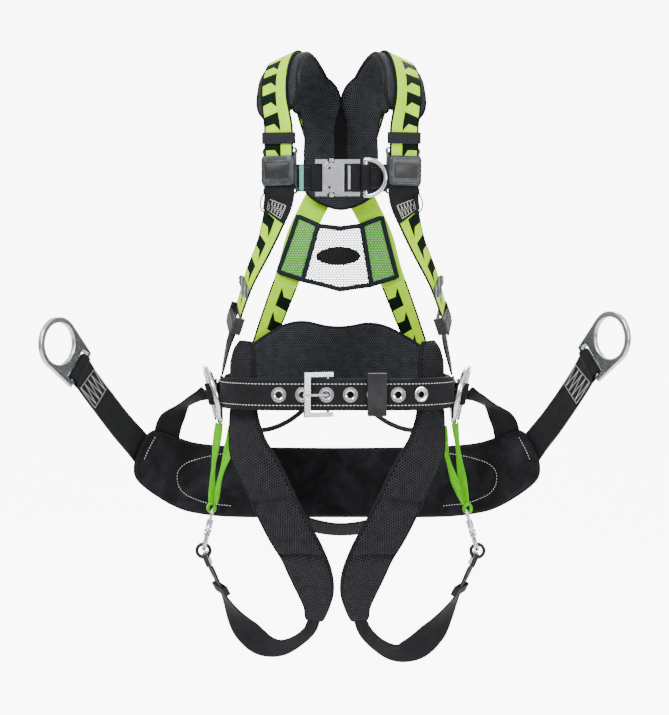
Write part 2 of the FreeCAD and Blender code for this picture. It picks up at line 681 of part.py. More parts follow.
def make_chest():
    half, tall = dim("chest_webbing") / 2, dim("chest_body_height")
    outer, depth = dim("chest_frame_height"), dim("chest_body_thick")
    tongue, mid = dim("chest_tongue_half"), -dim("chest_body_thick") / 2
    plate = (mid - dim("chest_frame_thick") / 2, mid + dim("chest_frame_thick") / 2)
    blade = (mid - dim("chest_tongue_thick") / 2, mid + dim("chest_tongue_thick") / 2)
    slack = (blade[0] - 0.4, blade[1] + 0.4)
    through = (-depth - 5, 5)

    female = chest_box((-12.5, 9.7), (-depth, 0), (-tall, tall))
    female = female.fuse(chest_box((-3.5, 31.6), plate, (-outer, outer)))
    female = female.cut(chest_box((9.7, 14), through, (-half - 0.6, half + 0.6)))
    female = female.cut(chest_box((20.7, 32), through, (-half - 0.6, half + 0.6)))
    female = female.cut(chest_box((-13, 0), slack, (-tongue - 0.4, tongue + 0.4)))
    for sign in (-1, 1):
        shaft = sorted((sign * (tongue + 0.4), sign * (tall + 1)))
        female = female.cut(chest_box((-10.6, -5), (mid - 2.3, mid + 2.3), shaft))
    solid_node("chest_buckle_female", female.removeSplitter())

    male = chest_box((-30.4, -13.8), plate, (-outer, outer))
    male = male.cut(chest_box((-31, -20.3), through, (-half - 0.6, half + 0.6)))
    male = male.fuse(chest_box((-14, -1.5), blade, (-tongue, tongue)))
    solid_node("chest_buckle_male", male.removeSplitter())

    for label, sign in (("upper", 1), ("lower", -1)):
        ear = sorted((sign * (tall + 3), sign * (tall + 7)))
        stem = sorted((sign * (tall + 3.2), sign * (tall - 4)))
        lever = chest_box((-10.9, -4.7), (mid - 3, mid + 3), ear)
        lever = lever.fuse(chest_box((-10, -5.6), (mid - 1.8, mid + 1.8), stem))
        solid_node(f"chest_release_{label}", lever.removeSplitter())

    thick = dim("webbing_thick")
    front, back = plate[0] - 0.4, plate[1] + 0.4
    wide = (-half, half)
    loop = chest_box((-36, -20.7), (mid - thick / 2, back + thick), wide)
    loop = loop.fuse(chest_box((-22, -14.2), (back, back + thick), wide))
    solid_node("chest_strap_loop", loop.removeSplitter())
    layer = back + thick + 0.4
    solid_node("right_chest_strap", chest_box((-57.5, -30.5), (layer, layer + thick), wide))
    wrap = chest_box((10.8, 30.6), (front - thick, back + thick), wide)
    wrap = wrap.cut(chest_box((13.6, 21.1), (front, back), (-40, 40)))
    left = wrap.fuse(chest_box((24, 68.4), (back + thick - 0.5, back + 2 * thick - 0.5), wide))
    bar = chest_ring_bar()
    solid_node("left_chest_strap", with_sleeve(left, bar, V(0, 0, 1), 36, dim("chest_ring_wire")))


def make_housings():
    """The moulded strap housings that join the chest strap to the shoulder webbing."""
    bases, covers = [], []
    wide, tall = dim("housing_width"), dim("housing_height")
    plate, cover = dim("housing_plate"), dim("housing_cover")
    gap = dim("webbing_thick") / 2 + 0.7
    for path in (SHOULDER, mirrored(SHOULDER, dim("upper_shift"))):
        point, along, across, normal = frames(path)[5]
        place = axes_placement(point, across, normal, along)
        base = Part.makeBox(wide, plate, tall, V(-wide / 2, -gap - plate, -tall / 2))
        for side in (-1, 1):
            rail = Part.makeBox(2.2, gap * 2 + plate, tall - 8, V(0, -gap - plate, -tall / 2 + 4))
            rail.translate(V(wide / 2 - 2.2 if side > 0 else -wide / 2, 0, 0))
            base = base.fuse(rail)
            for end in (-1, 1):
                lug = Part.makeCylinder(5.5, plate, V(side * (wide / 2 - 4), -gap - plate, end * (tall / 2 + 2)), V(0, 1, 0))
                eye = Part.makeCylinder(2.4, plate + 4, V(side * (wide / 2 - 4), -gap - plate - 2, end * (tall / 2 + 3)), V(0, 1, 0))
                base = base.fuse(lug).cut(eye)
        lid = Part.makeBox(wide - 1, cover, tall - 4, V(-wide / 2 + 0.5, gap + 0.05, -tall / 2 + 2))
        upright = [e for e in lid.Edges if abs(e.BoundBox.YLength - cover) < 1e-6]
        lid = lid.makeFillet(6, upright)
        top = [e for e in lid.Edges if e.BoundBox.YMin > gap + cover - 0.5]
        lid = lid.makeFillet(2, top)
        for shape, group in ((base.removeSplitter(), bases), (lid, covers)):
            shape.Placement = place
            group.append(shape)
    solid_node("strap_housings", Part.Compound(bases))
    solid_node("housing_covers", Part.Compound(covers))


def sleeve_on(path, index, shift, length, wall, slack):
    """An elastic or moulded loop round the webbing, near a station."""
    point, along, across, normal = frames(path[index : index + 2])[0]
    x, y = dim("webbing_width") / 2 + slack, dim("webbing_thick") / 2 + slack
    outer = Part.makeBox(2 * (x + wall), 2 * (y + wall), length, V(-x - wall, -y - wall, -length / 2))
    hollow = Part.makeBox(2 * x, 2 * y, length + 4, V(-x, -y, -length / 2 - 2))
    ring = outer.cut(hollow)
    ring.Placement = axes_placement(point + along * shift, across, normal, along)
    return ring


def make_keepers():
    for name in ("right", "left"):
        path = SHOULDER if name == "right" else mirrored(SHOULDER, dim("upper_shift"))
        solid_node(f"{name}_shoulder_keeper", sleeve_on(path, 6, 15, 14, 1.2, 1.0))


# ---------------------------------------------------------------- torso adjusters and links
def make_torso_adjusters():
    """Cam buckles at the foot of each shoulder strap, and the links down to the belt."""
    frames_made, links = [], []
    for name in ("right", "left"):
        path = SHOULDER if name == "right" else mirrored(SHOULDER, dim("upper_shift") - 3)
        point, along, across, normal = frames(path)[0]
        down = along * -1
        centre = point + down * 14
        place = axes_placement(centre, across, normal, along)
        cheeks = [
            Part.makeBox(3, 14, 26, V(x, -6, -14)) for x in (-25.5, 22.5)
        ]
        bars = [
            Part.makeCylinder(2.6, 46, V(-23, -2, z), V(1, 0, 0)) for z in (-10, 8)
        ]
        frame = cheeks[0].multiFuse([cheeks[1], *bars]).removeSplitter()
        frame = frame.cut(Part.makeCylinder(1.7, 60, V(-30, 4.5, 0), V(1, 0, 0)))
        lever = Part.makeCylinder(4.4, 43, V(-21.5, 4.5, 0), V(1, 0, 0))
        grip = Part.makeBox(43, 3, 19, V(-21.5, 5.2, -19))
        pin = Part.makeCylinder(1.62, 50, V(-25, 4.5, 0), V(1, 0, 0))
        lever = lever.multiFuse([grip, pin]).removeSplitter()
        for shape in (frame, lever):
            shape.Placement = place
        frames_made.append(frame)
        solid_node(f"{name}_cam_lever", lever)
        sign = -1 if name == "right" else 1
        foot = place.multVec(V(0, -2, -13.5))
        link = [
            (foot.x, foot.y, foot.z, sign * 0.97, -0.22, 0, 0.6),
            (sign * 155, -34, 70, sign * 0.97, -0.2, 0, 0.6),
            (sign * 161, -24, 45, sign, -0.1, 0, 0.6),
            (sign * 165, -16, 29, sign, 0, 0, 0.6),
        ]
        links.append(webbing(link))
    solid_node("torso_adjusters", Part.Compound(frames_made))
    solid_node("belt_link_straps", Part.Compound(links))


# ---------------------------------------------------------------- pads and leg straps
def make_lumbar():
    thick = dim("pad_thick")
    bottom, top = dim("lumbar_bottom"), dim("lumbar_top") + 20
    band = waist_band(-thick - 0.6, -0.6, ("side", 2), 2, bottom, top, front=False)
    crest = [(-200, 30), (-143, 46), (-118, 70), (-63, 101), (0, 86), (60, 98), (118, 66), (143, 46), (200, 30)]
    curve = Part.BSplineCurve()
    curve.interpolate([V(x, -20, z) for x, z in crest])
    lid = [V(200, -20, 30), V(200, -20, 200), V(-200, -20, 200), V(-200, -20, 30)]
    edges = [curve.toShape()] + [Part.LineSegment(a, b).toShape() for a, b in zip(lid, lid[1:])]
    cutter = Part.Face(Part.Wire(edges)).extrude(V(0, 200, 0))
    solid_node("lumbar_pad", band.cut(cutter))


# Stations of the wearer's right leg pad, from its rounded top behind the belt to its lower end.
LEG_PAD = [
    (-130, -53, 71, -0.83, -0.55, 0.05, 0.45),
    (-132, -54, 60, -0.83, -0.55, 0.05, 0.75),
    (-133, -55, 30, -0.83, -0.55, 0.02, 0.9),
    (-133, -57, -10, -0.83, -0.55, -0.02, 0.95),
    (-133, -62, -40, -0.78, -0.62, -0.05),
    (-127, -76, -76, -0.6, -0.8, 0.0),
    (-106, -88, -116, -0.46, -0.88, 0.0),
    (-88, -93, -154, -0.4, -0.9, 0.0),
    (-70, -90, -191, -0.35, -0.92, -0.1),
    (-50, -79, -228, -0.3, -0.9, -0.3),
    (-38, -62, -260, -0.25, -0.85, -0.45, 0.97),
    (-31, -45, -289, -0.15, -0.85, -0.5, 0.78),
    (-30, -30, -314, -0.05, -0.85, -0.5, 0.52),
    (-33, -21, -331, 0.0, -0.85, -0.5, 0.38),
]
# Stations of each leg strap, from the pad's end round the back of the thigh to its adjuster.
LEG_STRAP = {
    "right": [
        (-33.3, -19.9, -332.9, 0.0, -0.85, -0.5, 0.42),
        (-39, -10, -348, 0.1, -0.8, -0.6, 0.45),
        (-57, 1, -366, 0.2, -0.75, -0.65, 0.58),
        (-84, 9, -378, 0.1, -0.8, -0.6, 0.82),
        (-108, 12, -374, -0.15, -0.85, -0.5),
        (-131, 9, -354, -0.4, -0.88, -0.2),
        (-147, 3, -331, -0.75, -0.62, 0.0),
        (-160, -3, -306, -0.93, -0.35, 0.0),
        (-176, -11, -272.5, -0.97, -0.25, 0.0, 0.9),
        (-184, -12, -254.5, -0.97, -0.25, 0.0, 0.8),
    ],
    "left": [
        (33.4, -19.8, -333.0, 0.0, -0.85, -0.5, 0.42),
        (41, -9, -351, -0.1, -0.8, -0.6, 0.5),
        (60, 2, -372, -0.2, -0.75, -0.65, 0.65),
        (88, 12, -386, -0.1, -0.8, -0.6, 0.86),
        (115, 13, -379, 0.15, -0.88, -0.4),
        (138, 9, -358, 0.4, -0.88, -0.2),
        (154, 3, -335, 0.75, -0.62, 0.0),
        (170, -3, -307, 0.93, -0.35, 0.0),
        (187, -11, -272, 0.97, -0.25, 0.0, 0.9),
        (194.4, -12, -255, 0.97, -0.25, 0.0, 0.8),
    ],
}


def make_legs():
    half = dim("pad_thick") / 2
    hooks = {"right": V(-181.4, -12, -179), "left": V(188.7, -12, -180)}
    leans = {"right": V(-16, 0, -70), "left": V(18, 0, -64)}
    adjusters, loops = [], []
    for name in ("right", "left"):
        pad_path = LEG_PAD if name == "right" else mirrored(LEG_PAD)
        solid_node(f"{name}_leg_pad", strap(pad_path, 66, -half, half))
        path = LEG_STRAP[name]
        solid_node(f"{name}_leg_strap", webbing(path))
        solid_node(f"{name}_leg_keeper", sleeve_on(path, 7, 20, 14, 1.4, 1.6))
        make_snap_hook(name, hooks[name], leans[name])
        sign = -1 if name == "right" else 1
        down = V(leans[name]).normalize()
        ring_at = hooks[name] + down * dim("hook_to_ring")
        ring = Part.makeTorus(dim("leg_ring_bend"), dim("leg_ring_wire"), ring_at, V(0, 1, 0))
        adjusters.append(ring)
        block = Part.makeBox(40, 7, 20, V(-20, -3.5, -20))
        block = block.makeFillet(3, [e for e in block.Edges if abs(e.BoundBox.YLength - 7) < 1e-6])
        block = block.cut(Part.makeBox(30, 20, 6.4, V(-15, -10, -9.6)))
        # the adjuster hangs from the ring towards its strap
        aim = V(-sign * 0.4, 0, -0.917).normalize()
        face = V(0, 1, 0).cross(aim)
        slot_at = ring_at + aim * (dim("leg_ring_bend") - 6.4)
        block.Placement = axes_placement(slot_at, V(0, 1, 0), face, V(0, 1, 0).cross(face) * -1)
        adjusters.append(block)
        top = hooks[name]
        loop = [
            (sign * 166, 6, -26, sign, -0.1, 0, 0.45),
            (sign * 172, 4, -60, sign, -0.2, 0, 0.42),
            (sign * 179, -4, -115, sign, -0.2, 0, 0.4),
            (top.x - 0.2 * sign * 11.6, top.y, top.z + 11.6, sign, -0.1, 0, 0.3),
        ]
        loops.append(webbing(loop, plies=3))
    solid_node("leg_adjusters", Part.Compound(adjusters))
    solid_node("hip_loops", Part.Compound(loops))


def make_snap_hook(name, eye_at, lean):
    """A steel snap hook that hangs along lean, its plane running from front to back."""
    wire, bow, length = dim("hook_wire"), dim("hook_bow"), dim("hook_length")
    down = V(lean).normalize()
    side = V(0, -1, 0)
    place = axes_placement(eye_at, side, side.cross(down), down * -1)
    eye = Part.makeTorus(8.5, 2.4, V(), V(0, 1, 0))
    neck = Part.makeCylinder(4.6, 12, V(0, 0, -21))
    foot = -length + bow
    spine = Part.makeCylinder(wire, -24 - foot, V(-bow, 0, foot))
    shoulder = Part.makeCylinder(wire, 2 * bow, V(-bow, 0, -24), V(1, 0, 0))
    corners = [Part.makeSphere(wire, V(x, 0, -24)) for x in (-bow, bow)]
    curve = Part.makeTorus(bow, wire, V(0, 0, foot), V(0, 1, 0))
    curve = curve.common(Part.makeBox(40, 20, 20, V(-20, -10, foot - 20)))
    nose = Part.makeCylinder(wire, 3.5, V(bow, 0, foot))
    rivet = Part.makeCylinder(1.6, 10.4, V(bow, -5.2, -24), V(0, 1, 0))
    hook = eye.multiFuse([neck, spine, shoulder, *corners, curve, nose, rivet])
    gate_low = foot + 4.2
    gate_high = -24 - wire - 1.4
    gate = Part.makeCylinder(2.5, gate_high - gate_low, V(bow, 0, gate_low))
    thumb = Part.makeBox(3, 4.4, 5, V(bow + 1.4, -2.2, gate_high - 9))
    yoke = Part.makeBox(4.4, 9.6, 2.4, V(bow - 2.2, -4.8, gate_high - 2.4))
    ears = [Part.makeBox(4.4, 1, 8.8, V(bow - 2.2, y, gate_high - 2.4)) for y in (-4.8, 3.8)]
    ears = [ear.fuse(Part.makeCylinder(2.8, 1, V(bow, ear.BoundBox.YMin, -24), V(0, 1, 0))) for ear in ears]
    gate = gate.multiFuse([thumb, yoke, *ears])
    gate = gate.cut(Part.makeCylinder(1.9, 12, V(bow, -6, -24), V(0, 1, 0)))
    for label, shape in ((f"{name}_snap_hook", hook), (f"{name}_snap_gate", gate)):
        shape = shape.removeSplitter()
        shape.Placement = place
        solid_node(label, shape)


# ---------------------------------------------------------------- saddle seat
SEAT_HALF = [
    (0, -96), (-90, -94.5), (-160, -91), (-210, -84), (-240, -73), (-268, -62),
    (-285, -80), (-295, -114), (-286, -138), (-245, -171), (-206, -186.5), (-140, -195), (0, -197.5),
]
SEAT_RING_STRAP = [
    (-277, 8, -100, -0.45, 0.9, 0, 0.95),
    (-292, -6, -80, -0.6, 0.8, 0),
    (-312, -28, -50, -0.75, 0.66, 0),
    (-335, -59, -12, -0.8, 0.6, 0),
    (-350, -79, 13, -0.8, 0.6, 0),
    (-363.2, -95, 35.7, -0.8, 0.6, 0, 0.95),
]
SEAT_LINK = [
    (-254, 31, -92, -0.35, 0.93, 0, 0.9),
    (-250, 21, -66, -0.3, 0.93, -0.15, 0.9),
    (-240, 16, -41, -0.35, 0.8, 0.5, 0.9),
    (-222, 14, -22, -0.75, 0.3, 0.6, 0.9),
    (-202, 14, -10, -0.85, 0.3, 0.3, 0.8),
    (-186, 13, -3, -0.9, 0.4, 0.05, 0.75),
    (-175.5, 2, 0, -0.99, 0.1, 0, 0.75),
]


def make_seat():
    radius, depth, thick = dim("seat_radius"), dim("seat_middle_depth"), dim("seat_thick")
    centre = V(0, depth - radius, 0)
    drum = Part.makeCylinder(radius + thick, 240, centre + V(0, 0, -260))
    drum = drum.cut(Part.makeCylinder(radius, 260, centre + V(0, 0, -270)))
    outline = SEAT_HALF + [(-x, z) for x, z in SEAT_HALF[-2:0:-1]]
    prism = spline_face(outline, -60).extrude(V(0, 260, 0))
    solid_node("seat_pad", drum.common(prism))
    for name in ("right", "left"):
        ring_path, link, sign = SEAT_RING_STRAP, SEAT_LINK, -1
        if name == "left":
            # the left ring hangs a little higher and nearer than the right one
            ring_path = [(s[0] + 1.4 * k, s[1], s[2] + 1.6 * k, *s[3:]) for k, s in enumerate(ring_path)]
            ring_path, link, sign = mirrored(ring_path), mirrored(link), 1
        along, out, _ = seat_ring_axes(sign)
        bar = V(*SEAT_RING_EYE[name]) - out * (dim("seat_bar_reach") - dim("seat_bar_width") / 2)
        print(f"{name} seat bar at {bar.x:.1f} {bar.y:.1f} {bar.z:.1f}, strap ends {ring_path[-1][:3]}")
        ring_strap = with_sleeve(webbing(ring_path, plies=2), bar, along, 42, 5.2)
        solid_node(f"{name}_seat_ring_strap", ring_strap)
        solid_node(f"{name}_seat_link_strap", webbing(link))
    under = [
        (-78, 56, -190, 0, -0.6, -0.8, 0.8),
        (-45, 66, -203, 0, -0.6, -0.8, 0.8),
        (0, 72, -212, 0, -0.6, -0.8, 0.8),
        (45, 66, -207, 0, -0.6, -0.8, 0.8),
        (78, 56, -195, 0, -0.6, -0.8, 0.8),
    ]
    solid_node("sub_pelvic_strap", webbing(under))


GEAR_LOOP = [
    (-40, 108, -26), (-57, 107, -42), (-82, 104, -58), (-110, 99, -66),
    (-134, 87, -62), (-150, 68, -46), (-155, 54, -26),
]
CORD_LOOP = [
    (-99.7, -118.4, 285), (-104.8, -119.5, 276), (-107.6, -120.5, 266), (-105, -121.5, 256.5),
    (-98, -122.2, 252.5), (-93, -122.6, 258.5), (-93.2, -122.4, 268), (-97.3, -120.6, 279),
]


def make_loops():
    other = [(-x, y, z) for x, y, z in GEAR_LOOP]
    gear = [tube(path, dim("gear_tube")) for path in (GEAR_LOOP, other)]
    solid_node("gear_loops", Part.Compound(gear))
    shift = 2 * dim("upper_shift")
    solid_node("right_cord_loop", tube(CORD_LOOP, dim("cord_radius")))
    solid_node("left_cord_loop", tube([(shift - x, y, z) for x, y, z in CORD_LOOP], dim("cord_radius")))


make_belt()
make_belt_buckle()
make_d_rings()
make_seat_rings()
make_shoulders()
make_dorsal_pad()
make_back()
make_chest()
make_housings()
make_keepers()
make_torso_adjusters()
make_lumbar()
make_legs()
make_seat()
make_loops()
doc.recompute()

faults = [o.Name for o in doc.Objects if "Invalid" in o.State or "Error" in o.State]
for label, obj in nodes.items():
    shape = obj.Shape
    if shape.isNull() or not shape.isValid() or not shape.Solids or shape.Volume <= 0:
        faults.append(label)
if faults:
    raise RuntimeError(f"these did not build: {faults}")
os.makedirs("parts", exist_ok=True)
for label, obj in nodes.items():
    obj.Shape.exportStep(os.path.join("parts", label + ".step"))
print(f"{len(nodes)} nodes written")
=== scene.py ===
"""A tree climbing saddle: waist belt, leg pads, seat sling and chest harness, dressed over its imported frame.

Sizes in this file are millimetres until a mesh is made; meshes are metres, in the frame's own axes:
X to the wearer's left, Y to the back, Z up.
"""

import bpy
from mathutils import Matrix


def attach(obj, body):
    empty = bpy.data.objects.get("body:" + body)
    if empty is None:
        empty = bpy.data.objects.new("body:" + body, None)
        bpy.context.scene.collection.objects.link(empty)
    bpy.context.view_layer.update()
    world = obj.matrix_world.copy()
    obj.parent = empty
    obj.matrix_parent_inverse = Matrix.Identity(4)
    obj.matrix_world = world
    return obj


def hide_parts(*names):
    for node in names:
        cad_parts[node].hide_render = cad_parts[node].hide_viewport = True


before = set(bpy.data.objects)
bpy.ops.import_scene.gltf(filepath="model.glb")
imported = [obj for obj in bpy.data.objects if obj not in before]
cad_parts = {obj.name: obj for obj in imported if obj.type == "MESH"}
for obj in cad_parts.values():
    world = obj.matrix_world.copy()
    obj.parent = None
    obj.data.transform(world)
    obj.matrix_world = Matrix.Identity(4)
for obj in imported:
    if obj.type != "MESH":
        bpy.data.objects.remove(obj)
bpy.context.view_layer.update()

import math

import bmesh
import bpy
import numpy as np
from mathutils import Vector

MM = 0.001
WEBBING, PLY = 44.5, 2.5  # 1 3/4 inch harness webbing and its thickness
SHIFT = 6.0  # the upper half sits this far to the wearer's left
FIGURE = 38.0  # length of one repeat of the woven figure
PAD_WIDE, PAD_THICK = 65, 12.6  # shoulder and leg pads
SEAT_ROUND, SEAT_FRONT = 468.0, 353.0  # radius of the seat's curve, and its centre in front of the belt's
SEAT_DOME, DOME_RUN = 232, 26  # where the seat's raised ends begin, and the length over which they rise
HOUSING_Z, ROLL_Z, KEEPER_Z = 312, 153, 357  # heights of parts on the front shoulder straps


# ---------------------------------------------------------------- finishes
def colour(code):
    """An sRGB hex colour as linear RGBA."""
    part = np.array([int(code[i : i + 2], 16) for i in (1, 3, 5)]) / 255
    linear = np.where(part <= 0.04045, part / 12.92, ((part + 0.055) / 1.055) ** 2.4)
    return (*linear.tolist(), 1.0)


def add(tree, kind, links=None, **settings):
    """One shader node: its settings, then each input given a value or another node's output."""
    node = tree.nodes.new("ShaderNode" + kind)
    for key, value in settings.items():
        setattr(node, key, value)
    for key, value in (links or {}).items():
        if isinstance(value, bpy.types.NodeSocket):
            tree.links.new(value, node.inputs[key])
        else:
            node.inputs[key].default_value = value
    return node


def new_finish(name, **sockets):
    """An empty material and its shader, with the shader's constant sockets set."""
    made = bpy.data.materials.new(name)
    made.use_nodes = True
    tree = made.node_tree
    shader = tree.nodes["Principled BSDF"]
    for key, value in sockets.items():
        shader.inputs[key.replace("IOR_Level", "IOR Level").replace("_", " ")].default_value = value
    return made, tree, shader


def sums(tree, kind, one, two=0.0, three=None, clamp=False):
    """The output of one arithmetic node."""
    links = {0: one, 1: two}
    if three is not None:
        links[2] = three
    return add(tree, "Math", links, operation=kind, use_clamp=clamp).outputs[0]


def cloth_axes(tree):
    """Millimetres across and along a piece, from its own UV map, which is kept in metres."""
    place = add(tree, "UVMap", uv_map="cloth")
    scaled = add(tree, "VectorMath", {0: place.outputs["UV"], 1: (1000, 1000, 1000)}, operation="MULTIPLY")
    parts = add(tree, "SeparateXYZ", {0: scaled.outputs[0]})
    return scaled.outputs[0], parts.outputs["X"], parts.outputs["Y"]


def weave_height(tree, across, along, pick, rib):
    """Height of a narrow twill: raised picks in a chevron, each row shifted by its place across."""
    turned = sums(tree, "PINGPONG", across, 11.1)
    row = sums(tree, "MULTIPLY_ADD", turned, 0.55, along)
    wave = sums(tree, "SINE", sums(tree, "MULTIPLY", row, math.tau / pick))
    ribs = sums(tree, "SINE", sums(tree, "MULTIPLY", across, math.tau / rib))
    return sums(tree, "MULTIPLY_ADD", wave, 0.35, sums(tree, "MULTIPLY_ADD", ribs, 0.15, 0.5))


def webbing_finish(name, base, highlight, rough=0.72, sheen=0.12):
    """Polyester webbing, woven: a chevron of picks 2.2 mm apart, drawn a little coarse so that it shows,
    with a painted highlight on the raised yarns and dust-like variation along the length."""
    made, tree, shader = new_finish(
        name, Roughness=rough, Sheen_Weight=sheen, Sheen_Roughness=0.45, Specular_IOR_Level=0.14
    )
    place, across, along = cloth_axes(tree)
    height = weave_height(tree, across, along, 2.2, 1.5)
    drift = add(tree, "TexNoise", {"Vector": place, "Scale": 0.06, "Detail": 4.0, "Roughness": 0.6})
    # Painted highlight: the weave height mixes the second colour onto the raised yarns; the drift noise adds
    # dust-like variation.
    share = sums(
        tree, "MULTIPLY_ADD", height, 0.75, sums(tree, "MULTIPLY_ADD", drift.outputs[0], 0.7, -0.35),
        clamp=True
    )
    mixed = add(tree, "Mix", {"Factor": share, "A": colour(base), "B": colour(highlight)}, data_type="RGBA")
    tree.links.new(mixed.outputs["Result"], shader.inputs["Base Color"])
    bump = add(tree, "Bump", {"Strength": 0.55, "Distance": 0.0005, "Height": height})
    tree.links.new(bump.outputs[0], shader.inputs["Normal"])
    return made


def patterned_finish(name):
    """Lime polyester webbing with a woven dark figure: one block and its spike in every FIGURE of length,
    on the outer half of the width, and a dark selvedge on both edges. Across is 0 at the outer edge."""
    made, tree, shader = new_finish(name, Roughness=0.66, Specular_IOR_Level=0.05)
    place, across, along = cloth_axes(tree)
    share = sums(tree, "DIVIDE", across, WEBBING)
    turn = sums(tree, "FRACT", sums(tree, "MULTIPLY", along, -1 / FIGURE))
    top = sums(tree, "MULTIPLY", share, 0.12)
    spike = sums(tree, "MULTIPLY", sums(tree, "SUBTRACT", share, 0.38), 1 / 0.2, clamp=True)
    bottom = sums(tree, "MULTIPLY_ADD", spike, 0.34, 0.5)
    inside = sums(
        tree, "MULTIPLY", sums(tree, "GREATER_THAN", turn, top), sums(tree, "LESS_THAN", turn, bottom)
    )
    inside = sums(tree, "MULTIPLY", inside, sums(tree, "LESS_THAN", share, 0.58))
    edge = sums(
        tree, "MAXIMUM", sums(tree, "LESS_THAN", share, 0.075), sums(tree, "GREATER_THAN", share, 0.94)
    )
    dark = sums(tree, "MAXIMUM", inside, edge)
    height = weave_height(tree, across, along, 2.0, 1.4)
    drift = add(tree, "TexNoise", {"Vector": place, "Scale": 0.05, "Detail": 3.0})
    # Painted highlight: the weave height lightens the raised yarns of the lime and of the black figure, toward
    # #DAFF00 and #0D2416; the drift noise adds random variation.
    lit = sums(
        tree, "MULTIPLY_ADD", height, 0.6, sums(tree, "MULTIPLY_ADD", drift.outputs[0], 0.9, -0.3),
        clamp=True
    )
    lime = add(
        tree, "Mix", {"Factor": lit, "A": colour("#84D000"), "B": colour("#DAFF00")}, data_type="RGBA"
    )
    black = add(
        tree, "Mix", {"Factor": lit, "A": colour("#030705"), "B": colour("#0D2416")}, data_type="RGBA"
    )
    both = add(
        tree, "Mix", {"Factor": dark, "A": lime.outputs["Result"], "B": black.outputs["Result"]},
        data_type="RGBA"
    )
    tree.links.new(both.outputs["Result"], shader.inputs["Base Color"])
    bump = add(tree, "Bump", {"Strength": 0.5, "Distance": 0.0004, "Height": height})
    tree.links.new(bump.outputs[0], shader.inputs["Normal"])
    return made


def mesh_fabric_finish(name, pitch, base, rib, deep=0.9):
    """3-D spacer mesh, knitted: round openings in a honeycomb, pitch mm apart, filled with painted shade in
    the base colour, and the knitted ribs between them with a painted highlight in the rib colour."""
    made, tree, shader = new_finish(
        name, Roughness=0.8, Sheen_Weight=0.03, Sheen_Roughness=0.5, Specular_IOR_Level=0.12
    )
    place, across, along = cloth_axes(tree)
    found = []
    for shift in (0.0, 0.5):
        x = sums(
            tree, "SUBTRACT", sums(tree, "FRACT", sums(tree, "MULTIPLY_ADD", across, 1 / pitch, shift)), 0.5
        )
        y = sums(
            tree, "SUBTRACT",
            sums(tree, "FRACT", sums(tree, "MULTIPLY_ADD", along, 1 / (pitch * 1.732), shift)), 0.5
        )
        y = sums(tree, "MULTIPLY", y, 1.732)
        found.append(
            sums(
                tree, "SQRT", sums(tree, "ADD", sums(tree, "MULTIPLY", x, x), sums(tree, "MULTIPLY", y, y))
            )
        )
    near = sums(tree, "MINIMUM", *found)
    # Painted shade and highlight: ribs is 0 in the openings, which get the base colour as painted shade, and 1
    # on the ribs, which get the rib colour as painted highlight, scaled by a drift noise.
    ribs = add(tree, "MapRange", {0: near, 1: 0.26, 2: 0.46}, interpolation_type="SMOOTHSTEP").outputs[0]
    drift = add(tree, "TexNoise", {"Vector": place, "Scale": 0.08, "Detail": 4.0})
    lit = sums(tree, "MULTIPLY", ribs, sums(tree, "MULTIPLY_ADD", drift.outputs[0], 1.2, 0.25), clamp=True)
    mixed = add(tree, "Mix", {"Factor": lit, "A": colour(base), "B": colour(rib)}, data_type="RGBA")
    tree.links.new(mixed.outputs["Result"], shader.inputs["Base Color"])
    bump = add(tree, "Bump", {"Strength": deep, "Distance": 0.0007, "Height": ribs})
    tree.links.new(bump.outputs[0], shader.inputs["Normal"])
    return made


def suede_finish(name, base, worn):
    """Brushed nylon with a short nap: soft cloudy patches where the nap lies over, and a faint sheen."""
    made, tree, shader = new_finish(
        name, Roughness=0.85, Sheen_Weight=0.1, Sheen_Roughness=0.5, Specular_IOR_Level=0.12
    )
    place = add(tree, "TexCoord").outputs["Object"]
    cloud = add(
        tree, "TexNoise",
        {"Vector": place, "Scale": 26.0, "Detail": 5.0, "Roughness": 0.62, "Distortion": 0.6}
    )
    nap = add(tree, "TexNoise", {"Vector": place, "Scale": 900.0, "Detail": 2.0})
    share = add(tree, "MapRange", {0: cloud.outputs[0], 1: 0.42, 2: 0.78}).outputs[0]
    share = sums(
        tree, "MULTIPLY_ADD", nap.outputs[0], 0.35, sums(tree, "MULTIPLY_ADD", share, 0.8, -0.15),
        clamp=True
    )
    mixed = add(tree, "Mix", {"Factor": share, "A": colour(base), "B": colour(worn)}, data_type="RGBA")
    tree.links.new(mixed.outputs["Result"], shader.inputs["Base Color"])
    bump = add(tree, "Bump", {"Strength": 0.35, "Distance": 0.0004, "Height": nap.outputs[0]})
    tree.links.new(bump.outputs[0], shader.inputs["Normal"])
    return made


def steel_finish(name, base, rough, grain=1.0, scale=160.0):
    """Forged or cast metal: a bright base whose roughness drifts, with a fine hammered skin."""
    made, tree, shader = new_finish(name, Metallic=1.0, Base_Color=colour(base))
    place = add(tree, "TexCoord").outputs["Object"]
    skin = add(tree, "TexNoise", {"Vector": place, "Scale": scale, "Detail": 4.0, "Roughness": 0.6})
    fine = add(tree, "TexNoise", {"Vector": place, "Scale": scale * 9, "Detail": 2.0})
    level = sums(tree, "MULTIPLY_ADD", skin.outputs[0], 0.22, rough - 0.11)
    tree.links.new(level, shader.inputs["Roughness"])
    shade = add(tree, "MapRange", {0: skin.outputs[0], 1: 0.35, 2: 0.7, 3: 0.0, 4: 0.4}).outputs[0]
    tone = add(tree, "Mix", {"Factor": shade, "A": colour(base), "B": colour("#8E9296")}, data_type="RGBA")
    tree.links.new(tone.outputs["Result"], shader.inputs["Base Color"])
    bump = add(tree, "Bump", {"Strength": 0.12 * grain, "Distance": 0.0003, "Height": fine.outputs[0]})
    tree.links.new(bump.outputs[0], shader.inputs["Normal"])
    return made


